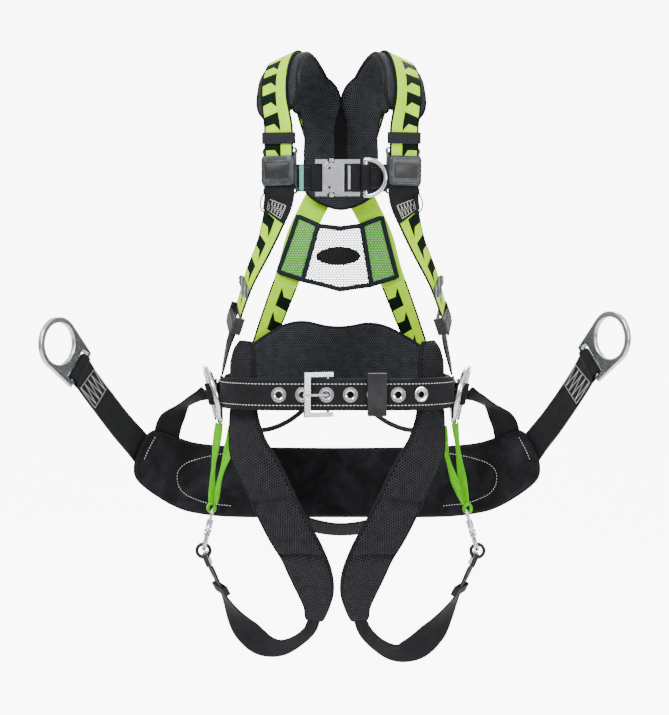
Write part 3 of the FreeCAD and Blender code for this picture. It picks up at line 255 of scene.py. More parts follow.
def moulded_finish(name, base, worn, rough=0.48):
    """Moulded plastic or baked coating: a spark-eroded grain and slightly paler rubbed patches."""
    made, tree, shader = new_finish(name)
    place = add(tree, "TexCoord").outputs["Object"]
    grain = add(tree, "TexNoise", {"Vector": place, "Scale": 1400.0, "Detail": 2.0})
    rubbed = add(tree, "TexNoise", {"Vector": place, "Scale": 70.0, "Detail": 4.0})
    share = add(tree, "MapRange", {0: rubbed.outputs[0], 1: 0.45, 2: 0.75}).outputs[0]
    mixed = add(tree, "Mix", {"Factor": share, "A": colour(base), "B": colour(worn)}, data_type="RGBA")
    tree.links.new(mixed.outputs["Result"], shader.inputs["Base Color"])
    tree.links.new(
        sums(tree, "MULTIPLY_ADD", rubbed.outputs[0], 0.2, rough - 0.1), shader.inputs["Roughness"]
    )
    bump = add(tree, "Bump", {"Strength": 0.2, "Distance": 0.0003, "Height": grain.outputs[0]})
    tree.links.new(bump.outputs[0], shader.inputs["Normal"])
    return made


def thread_finish(name, base, dark):
    """Bonded polyester thread: two plies twisted together, bright on the crown, darker in between."""
    made, tree, shader = new_finish(name, Roughness=0.5, Sheen_Weight=0.1)
    place = add(tree, "TexCoord").outputs["Object"]
    twist = add(tree, "TexNoise", {"Vector": place, "Scale": 1100.0, "Detail": 2.0})
    mixed = add(
        tree, "Mix", {"Factor": twist.outputs[0], "A": colour(dark), "B": colour(base)}, data_type="RGBA"
    )
    tree.links.new(mixed.outputs["Result"], shader.inputs["Base Color"])
    return made


def ribbed_finish(name, base, highlight, pitch=1.6):
    """Ribbed tape or elastic, as binding and keepers have: ribs along the length, pitch mm apart, with a
    painted highlight on their crowns.
    """
    made, tree, shader = new_finish(name, Roughness=0.75, Specular_IOR_Level=0.14)
    place = add(tree, "TexCoord").outputs["Object"]
    wave = add(
        tree, "TexWave",
        {"Vector": place, "Scale": 1000 / pitch / math.tau, "Distortion": 0.4, "Detail": 1.0}
    )
    soft = add(tree, "TexNoise", {"Vector": place, "Scale": 60.0, "Detail": 3.0})
    # Painted highlight: the wave puts the second colour on the rib crowns, its strength varied by a soft
    # noise.
    share = sums(
        tree, "MULTIPLY", wave.outputs["Fac"], sums(tree, "MULTIPLY_ADD", soft.outputs[0], 1.1, 0.1),
        clamp=True
    )
    mixed = add(tree, "Mix", {"Factor": share, "A": colour(base), "B": colour(highlight)}, data_type="RGBA")
    tree.links.new(mixed.outputs["Result"], shader.inputs["Base Color"])
    bump = add(tree, "Bump", {"Strength": 0.3, "Distance": 0.0003, "Height": wave.outputs["Fac"]})
    tree.links.new(bump.outputs[0], shader.inputs["Normal"])
    return made


# Webbing finishes: the second colour is the painted highlight on the raised yarns.
black_webbing = webbing_finish("black polyester webbing, woven", "#050506", "#212226", 0.78, 0.04)
figured_webbing = patterned_finish("lime polyester webbing with a woven black figure")
plain_lime = webbing_finish("plain lime polyester webbing, woven", "#86CC00", "#CCFF00", 0.6, 0.0)
# Gathered lime webbing of the hip loops: the dark green colour is painted shade for its twists and gathers,
# and the bright lime is the painted highlight.
lime_webbing = webbing_finish("green polyester webbing, gathered", "#107A00", "#84EE00", 0.6, 0.0)
# Spacer meshes: the first colour is the painted shade in the openings, the second the painted highlight on the
# ribs.
pad_mesh = mesh_fabric_finish("black spacer mesh, knitted", 4.0, "#010102", "#2E2F33")
yoke_mesh = mesh_fabric_finish("black spacer mesh, close knitted", 3.2, "#010102", "#3A3D44", 0.85)
lining = suede_finish("black brushed lining", "#040405", "#131416")
seat_suede = suede_finish("black brushed nylon seat cloth", "#060608", "#25262C")
# Ribbed finishes: the second colour is the painted highlight on the rib crowns.
binding_tape = ribbed_finish("black grosgrain binding, woven", "#050607", "#1E2024")
slate_tape = ribbed_finish("slate grosgrain binding, woven", "#0B1016", "#252C36")
elastic_tape = ribbed_finish("charcoal elastic, ribbed", "#16181B", "#2C2F34", 0.9)
cord_sleeve = ribbed_finish("charcoal cord sleeve, braided", "#17161B", "#3A3842", 1.2)
grey_tape = ribbed_finish("grey tape, ribbed", "#34373B", "#9A9DA1", 2.4)
white_thread = thread_finish("white bonded thread", "#F4F4F0", "#C9C9C4")
grey_thread = thread_finish("charcoal bonded thread", "#3A3C40", "#141517")
grey_net = thread_finish("grey nylon net, knitted", "#2E3136", "#17191C")
green_net = thread_finish("green nylon net, knitted", "#4CBE00", "#1E7A00")
white_lining = thread_finish("white nylon lining, knitted", "#F2F6EA", "#D2E0BC")
grey_plastic = moulded_finish("charcoal nylon, moulded", "#25282D", "#454A52", 0.42)
black_plastic = moulded_finish("black nylon, moulded", "#08090B", "#1C1E22")
black_steel = moulded_finish("black electrocoated steel", "#030304", "#101114", 0.5)
forged_steel = steel_finish("zinc plated forged steel", "#D9DCE0", 0.24)
bright_steel = steel_finish("nickel plated steel, polished", "#E4E6E9", 0.16, 0.5)
cast_alloy = steel_finish("cast aluminium, tumbled", "#D6D8DB", 0.36, 1.6, 220.0)
label_cloth = thread_finish("teal woven label", "#5FB5A6", "#2B7E74")


# ---------------------------------------------------------------- shapes
def unit(rows):
    """Each row scaled to length one."""
    return rows / np.maximum(np.linalg.norm(rows, axis=-1, keepdims=True), 1e-12)


def make_piece(name, points, faces, finish, body="harness", cloth=None, sharp=35, stands_for=(), slot=None):
    """A mesh in metres from points in millimetres, riding on a body.

    cloth is millimetres across and along at each point, kept as a UV map in metres.
    """
    mesh = bpy.data.meshes.new(name)
    mesh.from_pydata((np.asarray(points, float) * MM).tolist(), [], faces)
    if cloth is not None:
        layer = mesh.uv_layers.new(name="cloth")
        corner = np.empty(len(mesh.loops), np.int32)
        mesh.loops.foreach_get("vertex_index", corner)
        layer.data.foreach_set("uv", (np.asarray(cloth, float) * MM)[corner].astype(np.float32).ravel())
    work = bmesh.new()
    work.from_mesh(mesh)
    bmesh.ops.remove_doubles(work, verts=work.verts, dist=1e-6)
    bmesh.ops.recalc_face_normals(work, faces=work.faces)
    work.to_mesh(mesh)
    work.free()
    mesh.polygons.foreach_set("use_smooth", np.ones(len(mesh.polygons), bool))
    mesh.set_sharp_from_angle(angle=math.radians(sharp))
    mesh.materials.append(finish)
    made = bpy.data.objects.new(name, mesh)
    bpy.context.scene.collection.objects.link(made)
    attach(made, body)
    if stands_for:
        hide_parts(*([stands_for] if isinstance(stands_for, str) else stands_for))
    return made


def ring_faces(rows, columns, loop_rows=False):
    """Quads of a grid of rows, each a closed ring of columns points, with the two open ends capped."""
    i = np.arange(rows if loop_rows else rows - 1)[:, None]
    j = np.arange(columns)[None, :]
    a, b = i * columns + j, i * columns + (j + 1) % columns
    up = ((i + 1) % rows) * columns
    quads = np.stack([a, b, up + (j + 1) % columns, up + j], -1).reshape(-1, 4).tolist()
    if not loop_rows:
        last = (rows - 1) * columns
        quads += [list(range(columns))[::-1], list(range(last, last + columns))]
    return quads


def through(stations, step=4.0):
    """A smooth line through stations, every column carried along.

    Cubic Hermite pieces between stations; the slope at each is the mean of its two chords, each weighted
    by the other's length. Returns the samples, about step apart, and their distance along.
    """
    p = np.array([(*s, 1.0) if len(s) == 6 else tuple(s) for s in stations], float)
    chord = np.linalg.norm(np.diff(p[:, :3], axis=0), axis=1)
    reach = np.concatenate([[0], np.cumsum(chord)])
    run = np.diff(p, axis=0) / chord[:, None]
    slope = np.vstack([run[:1], run[:1], run[1:]])[: len(p)].copy()
    slope[0], slope[-1] = run[0], run[-1]
    slope[1:-1] = (
        run[:-1] * chord[1:, None] + run[1:] * chord[:-1, None]
    ) / (chord[1:] + chord[:-1])[:, None]
    at = np.linspace(0, reach[-1], max(3, int(reach[-1] / step) + 1))
    k = np.clip(np.searchsorted(reach, at, side="right") - 1, 0, len(chord) - 1)
    h = chord[k][:, None]
    t = (at - reach[k])[:, None] / h
    line = (
        (2 * t**3 - 3 * t**2 + 1) * p[k]
        + (t**3 - 2 * t**2 + t) * h * slope[k]
        + (3 * t**2 - 2 * t**3) * p[k + 1]
        + (t**3 - t**2) * h * slope[k + 1]
    )
    return line, at


def frames_of(points, hints):
    """Along, across and outward at each point of a line whose outward side is near hints."""
    along = unit(np.gradient(points, axis=0))
    across = unit(np.cross(unit(hints), along))
    return along, across, np.cross(along, across)


def flat_section(half_wide, half_thick, crown=0.0, steps=9):
    """A webbing's section: two flat faces, crowned a little, joined by round edges.

    Offsets across and outward, once round; the edge is a half ellipse as deep as it is thick.
    """
    flat = half_wide - half_thick * 0.9
    x = np.linspace(-flat, flat, steps)
    lift = half_thick + crown * (1 - (x / flat) ** 2)
    turn = np.linspace(np.pi / 2, -np.pi / 2, 5)[1:-1]
    edge = np.stack([flat + half_thick * 0.9 * np.cos(turn), half_thick * np.sin(turn)], -1)
    front, back = np.stack([x, lift], -1), np.stack([x[::-1], -lift[::-1]], -1)
    return np.vstack([front, edge, back, -edge])


def band(
    name, points, hints, finish, width=WEBBING, thick=PLY, share=1.0, lift=0.0, flip=False, ripple=0.0,
    **more
):
    """A strap: the flat section carried along a line, square to it.

    Its point is the line's, plus the section's offset across, plus its outward offset and lift.
    """
    _, across, out = frames_of(points, hints)
    share = np.broadcast_to(share, len(points))[:, None]
    section = flat_section(width / 2, thick / 2, thick * 0.03)
    reach = np.concatenate([[0], np.cumsum(np.linalg.norm(np.diff(points, axis=0), axis=1))])
    wide = section[None, :, 0] * share
    high = section[None, :, 1] + lift + ripple * np.sin(reach / 17.0)[:, None]
    grid = points[:, None] + across[:, None] * wide[..., None] + out[:, None] * high[..., None]
    u = np.broadcast_to(width / 2 + section[None, :, 0] * (-1 if flip else 1), wide.shape)
    cloth = np.stack([u, np.broadcast_to(reach[:, None], u.shape)], -1).reshape(-1, 2)
    return make_piece(
        name, grid.reshape(-1, 3), ring_faces(len(points), len(section)), finish, cloth=cloth, **more
    )


def strap(name, stations, finish, step=4.0, **more):
    """A strap through stations of place, outward side and share of the width."""
    line, _ = through(stations, step)
    return band(name, line[:, :3], line[:, 3:6], finish, share=line[:, 6], **more)


def mirror(stations, about=0.0):
    """The same stations on the wearer's left."""
    return [(2 * about - s[0], s[1], s[2], -s[3], *s[4:]) for s in stations]


def tube(name, points, radius, finish, squash=1.0, hints=None, sides=12, loop=False, **more):
    """A round or flattened cord: an ellipse of radius and radius times squash carried along a line."""
    points = np.asarray(points, float)
    if loop:
        along = unit(np.roll(points, -1, 0) - np.roll(points, 1, 0))
    else:
        along = unit(np.gradient(points, axis=0))
    if hints is None:
        hints = np.tile(unit(np.array([[0.31, 0.17, 0.93]])), (len(points), 1))
    across = unit(np.cross(hints, along))
    out = np.cross(along, across)
    turn = np.arange(sides) / sides * math.tau
    wide = across[:, None] * np.cos(turn)[None, :, None] * radius
    high = out[:, None] * np.sin(turn)[None, :, None] * radius * squash
    step = np.linalg.norm(np.diff(points, axis=0), axis=1)
    reach = np.concatenate([[0], np.cumsum(step)])
    cloth = np.stack(np.broadcast_arrays(turn[None] * radius, reach[:, None]), -1).reshape(-1, 2)
    grid = (points[:, None] + wide + high).reshape(-1, 3)
    return make_piece(name, grid, ring_faces(len(points), sides, loop), finish, cloth=cloth, **more)


def soft_pad(name, stations, width, thick, finish, inner=0.0, folds=(), rim=0.42, step=3.0, **more):
    """A padded strap. Across it the half thickness is rim + (1 - rim)(1 - |a|^3)^0.6 of the full one,
    so it is crowned and pinched at its bound edges. Along it the ends ease down over 10 mm, and each
    fold (place, depth, length) is a bell-shaped dip on the outer side."""
    line, reach = through(stations, step)
    points, hints, share = line[:, :3], line[:, 3:6], line[:, 6:7]
    _, across, out = frames_of(points, hints)
    a = np.concatenate([np.linspace(-1, 1, 25), np.linspace(1, -1, 25)[1:-1]])
    side = np.concatenate([np.ones(25), -np.ones(23)])
    side[[0, 24]] = 0
    crown = rim + (1 - rim) * (1 - np.abs(a) ** 3) ** 0.6
    ease = np.clip(np.minimum(reach, reach[-1] - reach) / 10, 0, 1)
    ease = 0.5 + 0.5 * np.sqrt(1 - (1 - ease) ** 2)
    dip = np.zeros((len(points), len(a)))
    for place, depth, long, lean in folds:
        dip += depth * np.exp(-(((reach[:, None] - place - lean * a[None]) / long) ** 2)) * (side > 0)
    high = side[None] * crown[None] * (thick / 2) * ease[:, None] * (1 - dip)
    grid = points[:, None] + across[:, None] * (
        a[None, :, None] * share[:, None] * width / 2
    ) + out[:, None] * (high + inner)[..., None]
    cloth = np.stack(np.broadcast_arrays(a[None] * width / 2 * share, reach[:, None]), -1).reshape(-1, 2)
    made = make_piece(
        name, grid.reshape(-1, 3), ring_faces(len(points), len(a)), finish, cloth=cloth, sharp=60, **more
    )
    around = np.vstack([
        points + across * (share * width / 2 - 0.6), (points - across * (share * width / 2 - 0.6))[::-1],
    ]) + np.vstack([out, out[::-1]]) * inner
    return made, around, np.vstack([out, out[::-1]])


def closed_curve(corners, count=240):
    """A smooth closed line through corners, evenly spaced: a periodic Catmull-Rom curve, resampled."""
    p = np.asarray(corners, float)
    n = len(p)
    k, t = np.divmod(np.arange(n * 24), 24)
    t = (t / 24)[:, None]
    a, b, c, d = p[(k - 1) % n], p[k], p[(k + 1) % n], p[(k + 2) % n]
    fine = 0.5 * (2 * b + (c - a) * t + (2 * a - 5 * b + 4 * c - d) * t**2 + (3 * b - a - 3 * c + d) * t**3)
    step = np.linalg.norm(np.roll(fine, -1, 0) - fine, axis=1)
    reach = np.concatenate([[0], np.cumsum(step)])
    want = np.linspace(0, reach[-1], count, endpoint=False)
    fine = np.vstack([fine, fine[:1]])
    return np.stack([np.interp(want, reach, fine[:, i]) for i in range(fine.shape[1])], -1)


def outline_pad(name, outline, spine, place, thick, finish, rim=0.45, bulge=None, rings=16, **more):
    """A padded panel inside a closed outline.

    Rings shrink from the outline onto its spine line; at a share t of the way out the half thickness is
    rim + (1 - rim)(1 - t^4)^0.5 of the full one. place turns flat x, z and height into a point.
    """
    heart = spine(outline)
    t = np.linspace(0, 1, rings) ** 0.75
    flat = heart[None] + (outline - heart)[None] * t[:, None, None]
    half = thick / 2 * (rim + (1 - rim) * np.sqrt(np.maximum(1 - t**4, 0)))[:, None] * np.ones(len(outline))
    extra = np.zeros_like(half) if bulge is None else bulge(flat[..., 0], flat[..., 1], t[:, None])
    front = place(flat[..., 0], flat[..., 1], -(half + extra))
    back = place(flat[..., 0], flat[..., 1], half)
    stack = np.concatenate([front, back[::-1]])
    rows = len(stack)
    cloth = np.concatenate([flat, flat[::-1]]).reshape(-1, 2)
    faces = ring_faces(rows, len(outline))[:-2]
    made = make_piece(name, stack.reshape(-1, 3), faces, finish, cloth=cloth, sharp=70, **more)
    edge = place(outline[:, 0], outline[:, 1], np.zeros(len(outline)))
    out = unit(place(outline[:, 0], outline[:, 1], np.ones(len(outline))) - edge)
    return made, edge, out


def slab(name, outline, origin, x_axis, z_axis, deep, finish, bevel=0.6, **more):
    """A flat outline pushed through a depth along the third axis, its edges rounded by a bevel."""
    outline = np.asarray(outline, float)
    x_axis, z_axis = np.asarray(x_axis, float), np.asarray(z_axis, float)
    y_axis = np.cross(z_axis, x_axis)
    flat = np.asarray(origin, float) + outline[:, :1] * x_axis + outline[:, 1:] * z_axis
    points = np.vstack([flat + y_axis * deep[0], flat + y_axis * deep[1]])
    made = make_piece(name, points, ring_faces(2, len(outline)), finish, sharp=30, **more)
    if bevel:
        round_edges(made, bevel)
    return made


def round_edges(made, wide, segments=2, angle=32):
    """A live bevel on the sharp edges, with normals weighted to the flat faces."""
    edge = made.modifiers.new("rounded edges", "BEVEL")
    edge.width, edge.segments, edge.limit_method = wide * MM, segments, "ANGLE"
    edge.angle_limit = math.radians(angle)
    made.data.polygons.foreach_set("use_smooth", np.ones(len(made.data.polygons), bool))
    for line in made.data.edges:
        line.use_edge_sharp = False
    weight = made.modifiers.new("flat faces", "WEIGHTED_NORMAL")
    weight.keep_sharp = True
    return made


def rounded_box(half_x, half_z, corner, count=7):
    """A rectangle's outline with quarter-circle corners, as flat x, z."""
    turn = np.linspace(0, np.pi / 2, count)
    found = []
    for k, (sx, sz) in enumerate(((1, 1), (-1, 1), (-1, -1), (1, -1))):
        angle = turn + k * np.pi / 2
        centre = np.array([sx * (half_x - corner), sz * (half_z - corner)])
        found.append(centre + corner * np.stack([np.cos(angle), np.sin(angle)], -1))
    return np.vstack(found)


def stepped(name, place, rings, finish, **more):
    """A moulded lid: rounded rectangles (half x, half z, corner, height) stacked outwards from a place.

    place is an origin, the two axes of the rectangles and the outward axis.
    """
    origin, x_axis, z_axis, out = (np.asarray(v, float) for v in place)
    loops = []
    for half_x, half_z, corner, high in rings:
        flat = rounded_box(half_x, half_z, corner)
        loops.append(origin + flat[:, :1] * x_axis + flat[:, 1:] * z_axis + out * high)
    return make_piece(
        name, np.vstack(loops), ring_faces(len(loops), len(loops[0])), finish, sharp=40, **more
    )


def dress(node, finish, bevel=0.0, angle=32):
    """A frame part keeps its shape: it is welded, its edges are rounded, live, and it gets its finish."""
    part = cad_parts[node]
    part.data.materials.clear()
    part.data.materials.append(finish)
    part.data.polygons.foreach_set("material_index", np.zeros(len(part.data.polygons), np.int32))
    part.data.polygons.foreach_set("use_smooth", np.ones(len(part.data.polygons), bool))
    weld = part.modifiers.new("weld", "WELD")
    weld.merge_threshold = 2e-5
    if bevel:
        flat = part.modifiers.new("flat", "DECIMATE")
        flat.decimate_type, flat.angle_limit = "DISSOLVE", math.radians(2)
        edge = part.modifiers.new("rounded edges", "BEVEL")
        edge.width, edge.segments, edge.limit_method = bevel * MM, 2, "ANGLE"
        edge.angle_limit = math.radians(angle)
    part.modifiers.new("flat faces", "WEIGHTED_NORMAL")
    return part


# ---------------------------------------------------------------- sewing
def seam(name, points, hints, finish=white_thread, stitch=3.0, gap=1.5, wide=0.95, high=0.5, **more):
    """A row of stitches along a line: each is a six-sided spindle, its middle proud of the cloth and its
    ends at the surface, a stitch long with a gap between."""
    points, hints = np.asarray(points, float), unit(np.asarray(hints, float))
    step = np.linalg.norm(np.diff(points, axis=0), axis=1)
    reach = np.concatenate([[0], np.cumsum(step)])
    count = max(1, int(reach[-1] // (stitch + gap)))
    start = (np.arange(count) + 0.15) * reach[-1] / count
    shares = np.array([0.0, 0.18, 0.5, 0.82, 1.0])
    fat = np.array([0.25, 0.85, 1.0, 0.85, 0.25])
    at = start[:, None] + shares[None] * stitch
    place = np.stack([np.interp(at, reach, points[:, i]) for i in range(3)], -1)
    out = unit(np.stack([np.interp(at, reach, hints[:, i]) for i in range(3)], -1))
    along = unit(place[:, -1:] - place[:, :1]) * np.ones_like(place)
    across = unit(np.cross(out, along))
    turn = np.arange(6) / 6 * math.tau
    ring = (
        across[:, :, None] * (np.cos(turn) * wide / 2)[None, None, :, None]
        + out[:, :, None] * (np.sin(turn) * high / 2)[None, None, :, None]
    ) * fat[None, :, None, None]
    rise = out * (np.array([-0.1, 0.12, 0.2, 0.12, -0.1])[None, :, None] * high * 2)
    grid = (place + rise)[:, :, None] + ring
    one = np.array(
        [
            [
                i * 6 + j, i * 6 + (j + 1) % 6, (i + 1) * 6 + (j + 1) % 6, (i + 1) * 6 + j
            ] for i in range(4) for j in range(6)
        ]
    )
    faces = (one[None] + (np.arange(count) * 30)[:, None, None]).reshape(-1, 4).tolist()
    for k in range(count):
        faces += [list(range(k * 30, k * 30 + 6)), list(range(k * 30 + 24, k * 30 + 30))]
    return make_piece(name, grid.reshape(-1, 3), faces, finish, sharp=80, **more)


def zigzag(half_x, half_z, rows):
    """The flat route of a sewn box and the zigzag inside it, running up and down between its long sides."""
    k = np.arange(rows * 2 + 1)
    flat = np.stack([k * half_x * 0.94 / rows - half_x * 0.94, np.where(k % 2, -half_z, half_z) * 0.9], -1)
    box = [(-half_x, half_z), (half_x, half_z), (half_x, -half_z), (-half_x, -half_z), (-half_x, half_z)]
    route = np.vstack([box, flat])
    return np.vstack(
        [np.linspace(a, b, 10, endpoint=False) for a, b in zip(route, route[1:])] + [route[-1:]]
    )


def tack(name, centre, x_axis, z_axis, half_x, half_z, rows, finish=white_thread, **more):
    """A sewn box on a flat place."""
    flat = zigzag(half_x, half_z, rows)
    x_axis, z_axis = np.asarray(x_axis, float), np.asarray(z_axis, float)
    line = np.asarray(centre, float) + flat[:, :1] * x_axis + flat[:, 1:] * z_axis
    out = np.tile(np.cross(x_axis, z_axis), (len(line), 1))
    return seam(name, line, out, finish, stitch=2.4, gap=0.6, wide=0.8, high=0.4, **more)


def tack_on(name, stations, place, lift, half_x, half_z, rows, finish=white_thread, **more):
    """A sewn box that follows its strap's bend, at a distance along it and lifted off its middle."""
    flat = zigzag(half_x, half_z, rows)
    line, reach = through(stations, 1.0)
    _, across, out = frames_of(line[:, :3], line[:, 3:6])
    at = place + flat[:, 1]
    spot, side, face = (
        np.stack([np.interp(at, reach, v[:, i]) for i in range(3)], -1) for v in (line[:, :3], across, out)
    )
    return seam(
        name, spot + side * flat[:, :1] + face * lift, face * np.sign(lift), finish, stitch=2.4, gap=0.6,
        wide=0.8, high=0.4, **more
    )


def sleeve(name, stations, place, long, finish, wall=1.3, slack=0.7, thick=PLY, **more):
    """A flat sleeve round a strap: a rounded outline outside, another inside, joined at both ends."""
    centre, across, along, out = spot_on(stations, place)
    loops = []
    for grow, half in ((wall, -long / 2), (wall, long / 2), (0.0, long / 2), (0.0, -long / 2)):
        ring = rounded_box(
            WEBBING / 2 + slack + grow, thick / 2 + slack + grow,
            min(1.2 + grow, thick / 2 + slack - 0.1 + grow), 5
        )
        loops.append(centre + ring[:, :1] * across + ring[:, 1:] * out + along * half)
    return make_piece(name, np.vstack(loops), ring_faces(4, len(loops[0]), True), finish, sharp=50, **more)


def spot_on(stations, place):
    """Point, across, along and outward at a distance along a strap."""
    line, reach = through(stations, 1.0)
    along, across, out = frames_of(line[:, :3], line[:, 3:6])
    k = int(np.argmin(np.abs(reach - place)))
    return line[k, :3], across[k], along[k], out[k]


# ---------------------------------------------------------------- waist belt
def waist(offset, start, end, front=True, step=4.0):
    """The waist line seen from above, offset outside the body side of the belt.

    Straight sides, a quarter circle at each corner and a straight front or back; start and end are
    distances along it from the middle, right of the wearer negative.
    """
    half, depth = 158 + offset, (108 if front else 104) + offset
    radius = (78 if front else 92) + offset
    flat, sign = half - radius, -1 if front else 1
    s = np.linspace(start, end, max(3, int(abs(end - start) / step) + 1))
    side = np.sign(s)
    over = np.clip((np.abs(s) - flat) / radius, 0, np.pi / 2)
    past = np.maximum(np.abs(s) - flat - radius * np.pi / 2, 0)
    x = side * (np.minimum(np.abs(s), flat) + radius * np.sin(over))
    y = sign * (depth - radius + radius * np.cos(over) - past)
    out = np.stack([side * np.sin(over), sign * np.cos(over), 0 * s], -1)
    return np.stack([x, y, 0 * s], -1), out


def side_reach(offset, y_end, front=True):
    """Distance along the waist line from its middle to y_end on a side."""
    half, depth = 158 + offset, (108 if front else 104) + offset
    radius = (78 if front else 92) + offset
    sign = -1 if front else 1
    return half - radius + radius * math.pi / 2 + (sign * (depth - radius) - y_end) * sign


def belt_seams(name, offset, start, end, front=True, **more):
    """Two rows of white stitches along the belt, 15 mm above and below its middle."""
    for level in (-15.0, 15.0):
        points, out = waist(offset, start, end, front, 2.0)
        seam(
            f"{name}_{'upper' if level > 0 else 'lower'}", points + np.array([0, 0, level]), out,
            stitch=3.4, gap=1.7, **more
        )


def make_belt():
    """The back webbing, the buckle strap folded round the buckle's bar, and the tongue with its holes."""
    back = side_reach(2.75, 4, False)
    points, out = waist(2.75, -back, back, False)
    band(
        "back_belt", points, out, black_webbing, thick=5.5, stands_for="belt_back_webbing",
        slot="black_webbing"
    )
    belt_seams("back_belt_seam", 5.6, -back + 6, back - 6, False)

    # the buckle strap turns round the buckle's bar and is sewn back on itself
    end = side_reach(2.75, 3.5)
    outer, out = waist(4.1, -6, end)
    inner, _ = waist(1.4, -6, end)
    turn = np.linspace(np.pi / 2, 3 * np.pi / 2, 9)
    bar = np.array([-13, -110.75, 0])
    arc = bar + 3.4 * np.stack([np.cos(turn), -np.sin(turn), 0 * turn], -1)
    line = np.vstack([outer[::-1], arc, inner])
    hints = np.vstack([out[::-1], unit(arc - bar), -out])
    # full width up to the bar; round the bar, an upper and a lower half leave a notch for the prong
    band(
        "buckle_strap", line[: len(outer) - 2], hints[: len(outer) - 2], black_webbing, thick=2.6,
        stands_for="belt_buckle_strap", slot="black_webbing"
    )
    band("buckle_strap_lining", line[-len(inner) + 2 :], hints[-len(inner) + 2 :], black_webbing, thick=2.6)
    for level in (-14.0, 14.0):
        wrap = line[len(outer) - 4 : len(outer) + 12] + np.array([0, 0, level])
        band(
            f"buckle_wrap_{'upper' if level > 0 else 'lower'}", wrap,
            hints[len(outer) - 4 : len(outer) + 12], black_webbing, width=16, thick=2.4
        )

    start, end = side_reach(9.25, -2), side_reach(9.25, -26)
    points, out = waist(9.25, -start, end, step=3.0)
    tongue = band(
        "tongue_strap", points, out, black_webbing, stands_for="belt_tongue_strap", slot="black_webbing"
    )
    punch(tongue)
    belt_seams("tongue_seam", 10.6, -start + 4, end - 4)
    dress("belt_grommets", bright_steel)
    dress("belt_buckle_frame", forged_steel, 1.1)
    dress("belt_buckle_prong", forged_steel)
    dress("belt_keeper", black_plastic, 1.0)


def punch(tongue):
    """Seven round holes through the tongue strap, one inside each grommet."""
    work = bmesh.new()
    flat, radius = 80.0, 78 + 9.25
    for k in range(7):
        along = 33.4 * k - 81.6
        over = max(abs(along) - flat, 0) / radius
        out = np.array([math.copysign(math.sin(over), along), -math.cos(over), 0])
        place = np.array([math.copysign(min(abs(along), flat), along), -30.0, 0]) + out * radius
        side = np.cross(out, [0, 0, 1.0])
        turn = np.arange(20) / 20 * math.tau
        ring = np.outer(np.cos(turn), side) * 6.2 + np.outer(np.sin(turn), [0, 0, 1.0]) * 6.2
        low = [work.verts.new((place + r - out * 4) * MM) for r in ring]
        high = [work.verts.new((place + r + out * 4) * MM) for r in ring]
        work.faces.new(low[::-1])
        work.faces.new(high)
        for a in range(20):
            b = (a + 1) % 20
            work.faces.new((low[a], low[b], high[b], high[a]))
    bmesh.ops.recalc_face_normals(work, faces=work.faces)
    mesh = bpy.data.meshes.new("punch")
    work.to_mesh(mesh)
    work.free()
    tool = bpy.data.objects.new("punch", mesh)
    bpy.context.scene.collection.objects.link(tool)
    holes = tongue.modifiers.new("holes", "BOOLEAN")
    holes.object, holes.operation, holes.solver = tool, "DIFFERENCE", "EXACT"
    ready = bpy.data.meshes.new_from_object(tongue.evaluated_get(bpy.context.evaluated_depsgraph_get()))
    tongue.modifiers.clear()
    tongue.data = ready
    bpy.data.objects.remove(tool)


def make_lumbar():
    """The waist pad: an outline with a crest, wrapped round the inside of the belt's waist line."""
    crest = np.array(
        [
            (-200, 30), (-143, 46), (-118, 70), (-63, 101), (0, 86), (60, 98), (118, 66), (143, 46),
            (200, 30)
        ],
        float
    )
    reach = side_reach(-7.1, 2, False)
    s = np.linspace(-reach + 1.5, reach - 1.5, 41)
    x = waist(-7.1, s[0], s[-1], False, (s[-1] - s[0]) / 40)[0][:41, 0]
    top = np.stack([s, np.interp(x, crest[:, 0], crest[:, 1])], -1)
    top[:, 1] = np.convolve(np.pad(top[:, 1], 2, "edge"), np.ones(5) / 5, "valid") - 1.5
    low = np.stack([s[::-1][1:-1:2], np.full(20, -28.5)], -1)[:20]
    low = np.vstack([[(reach - 4, -20)], low, [(-reach + 4, -20)]])
    outline = closed_curve(np.vstack([top[1:-1], low]), 300)

    def spine(o):
        """The line on which the pad is thickest: a low arch that stops 32 mm short of each end."""
        limit = reach - 32
        return np.stack(
            [np.clip(o[:, 0], -limit, limit), 8 + 18 * np.cos(np.clip(o[:, 0] / limit, -1, 1) * 1.3)], -1
        )

    def place(s, z, h):
        """The point at s round the waist line, z up and h outward."""
        points, out = waist(-7.1, -reach, reach, False, 1.0)
        at = np.linspace(-reach, reach, len(points))
        flat = np.stack([np.interp(s, at, points[:, i]) for i in range(2)], -1)
        side = np.stack([np.interp(s, at, out[:, i]) for i in range(2)], -1)
        side = side / np.linalg.norm(side, axis=-1, keepdims=True)
        xy = flat + side * np.asarray(h)[..., None]
        return np.concatenate([xy, np.asarray(z)[..., None]], -1)

    _, edge, out = outline_pad(
        "lumbar_pad_cushion", outline, spine, place, 12.4, yoke_mesh, stands_for="lumbar_pad",
        slot="spacer_mesh"
    )
    tube("lumbar_binding", edge, 2.6, binding_tape, squash=1.35, hints=out, loop=True)


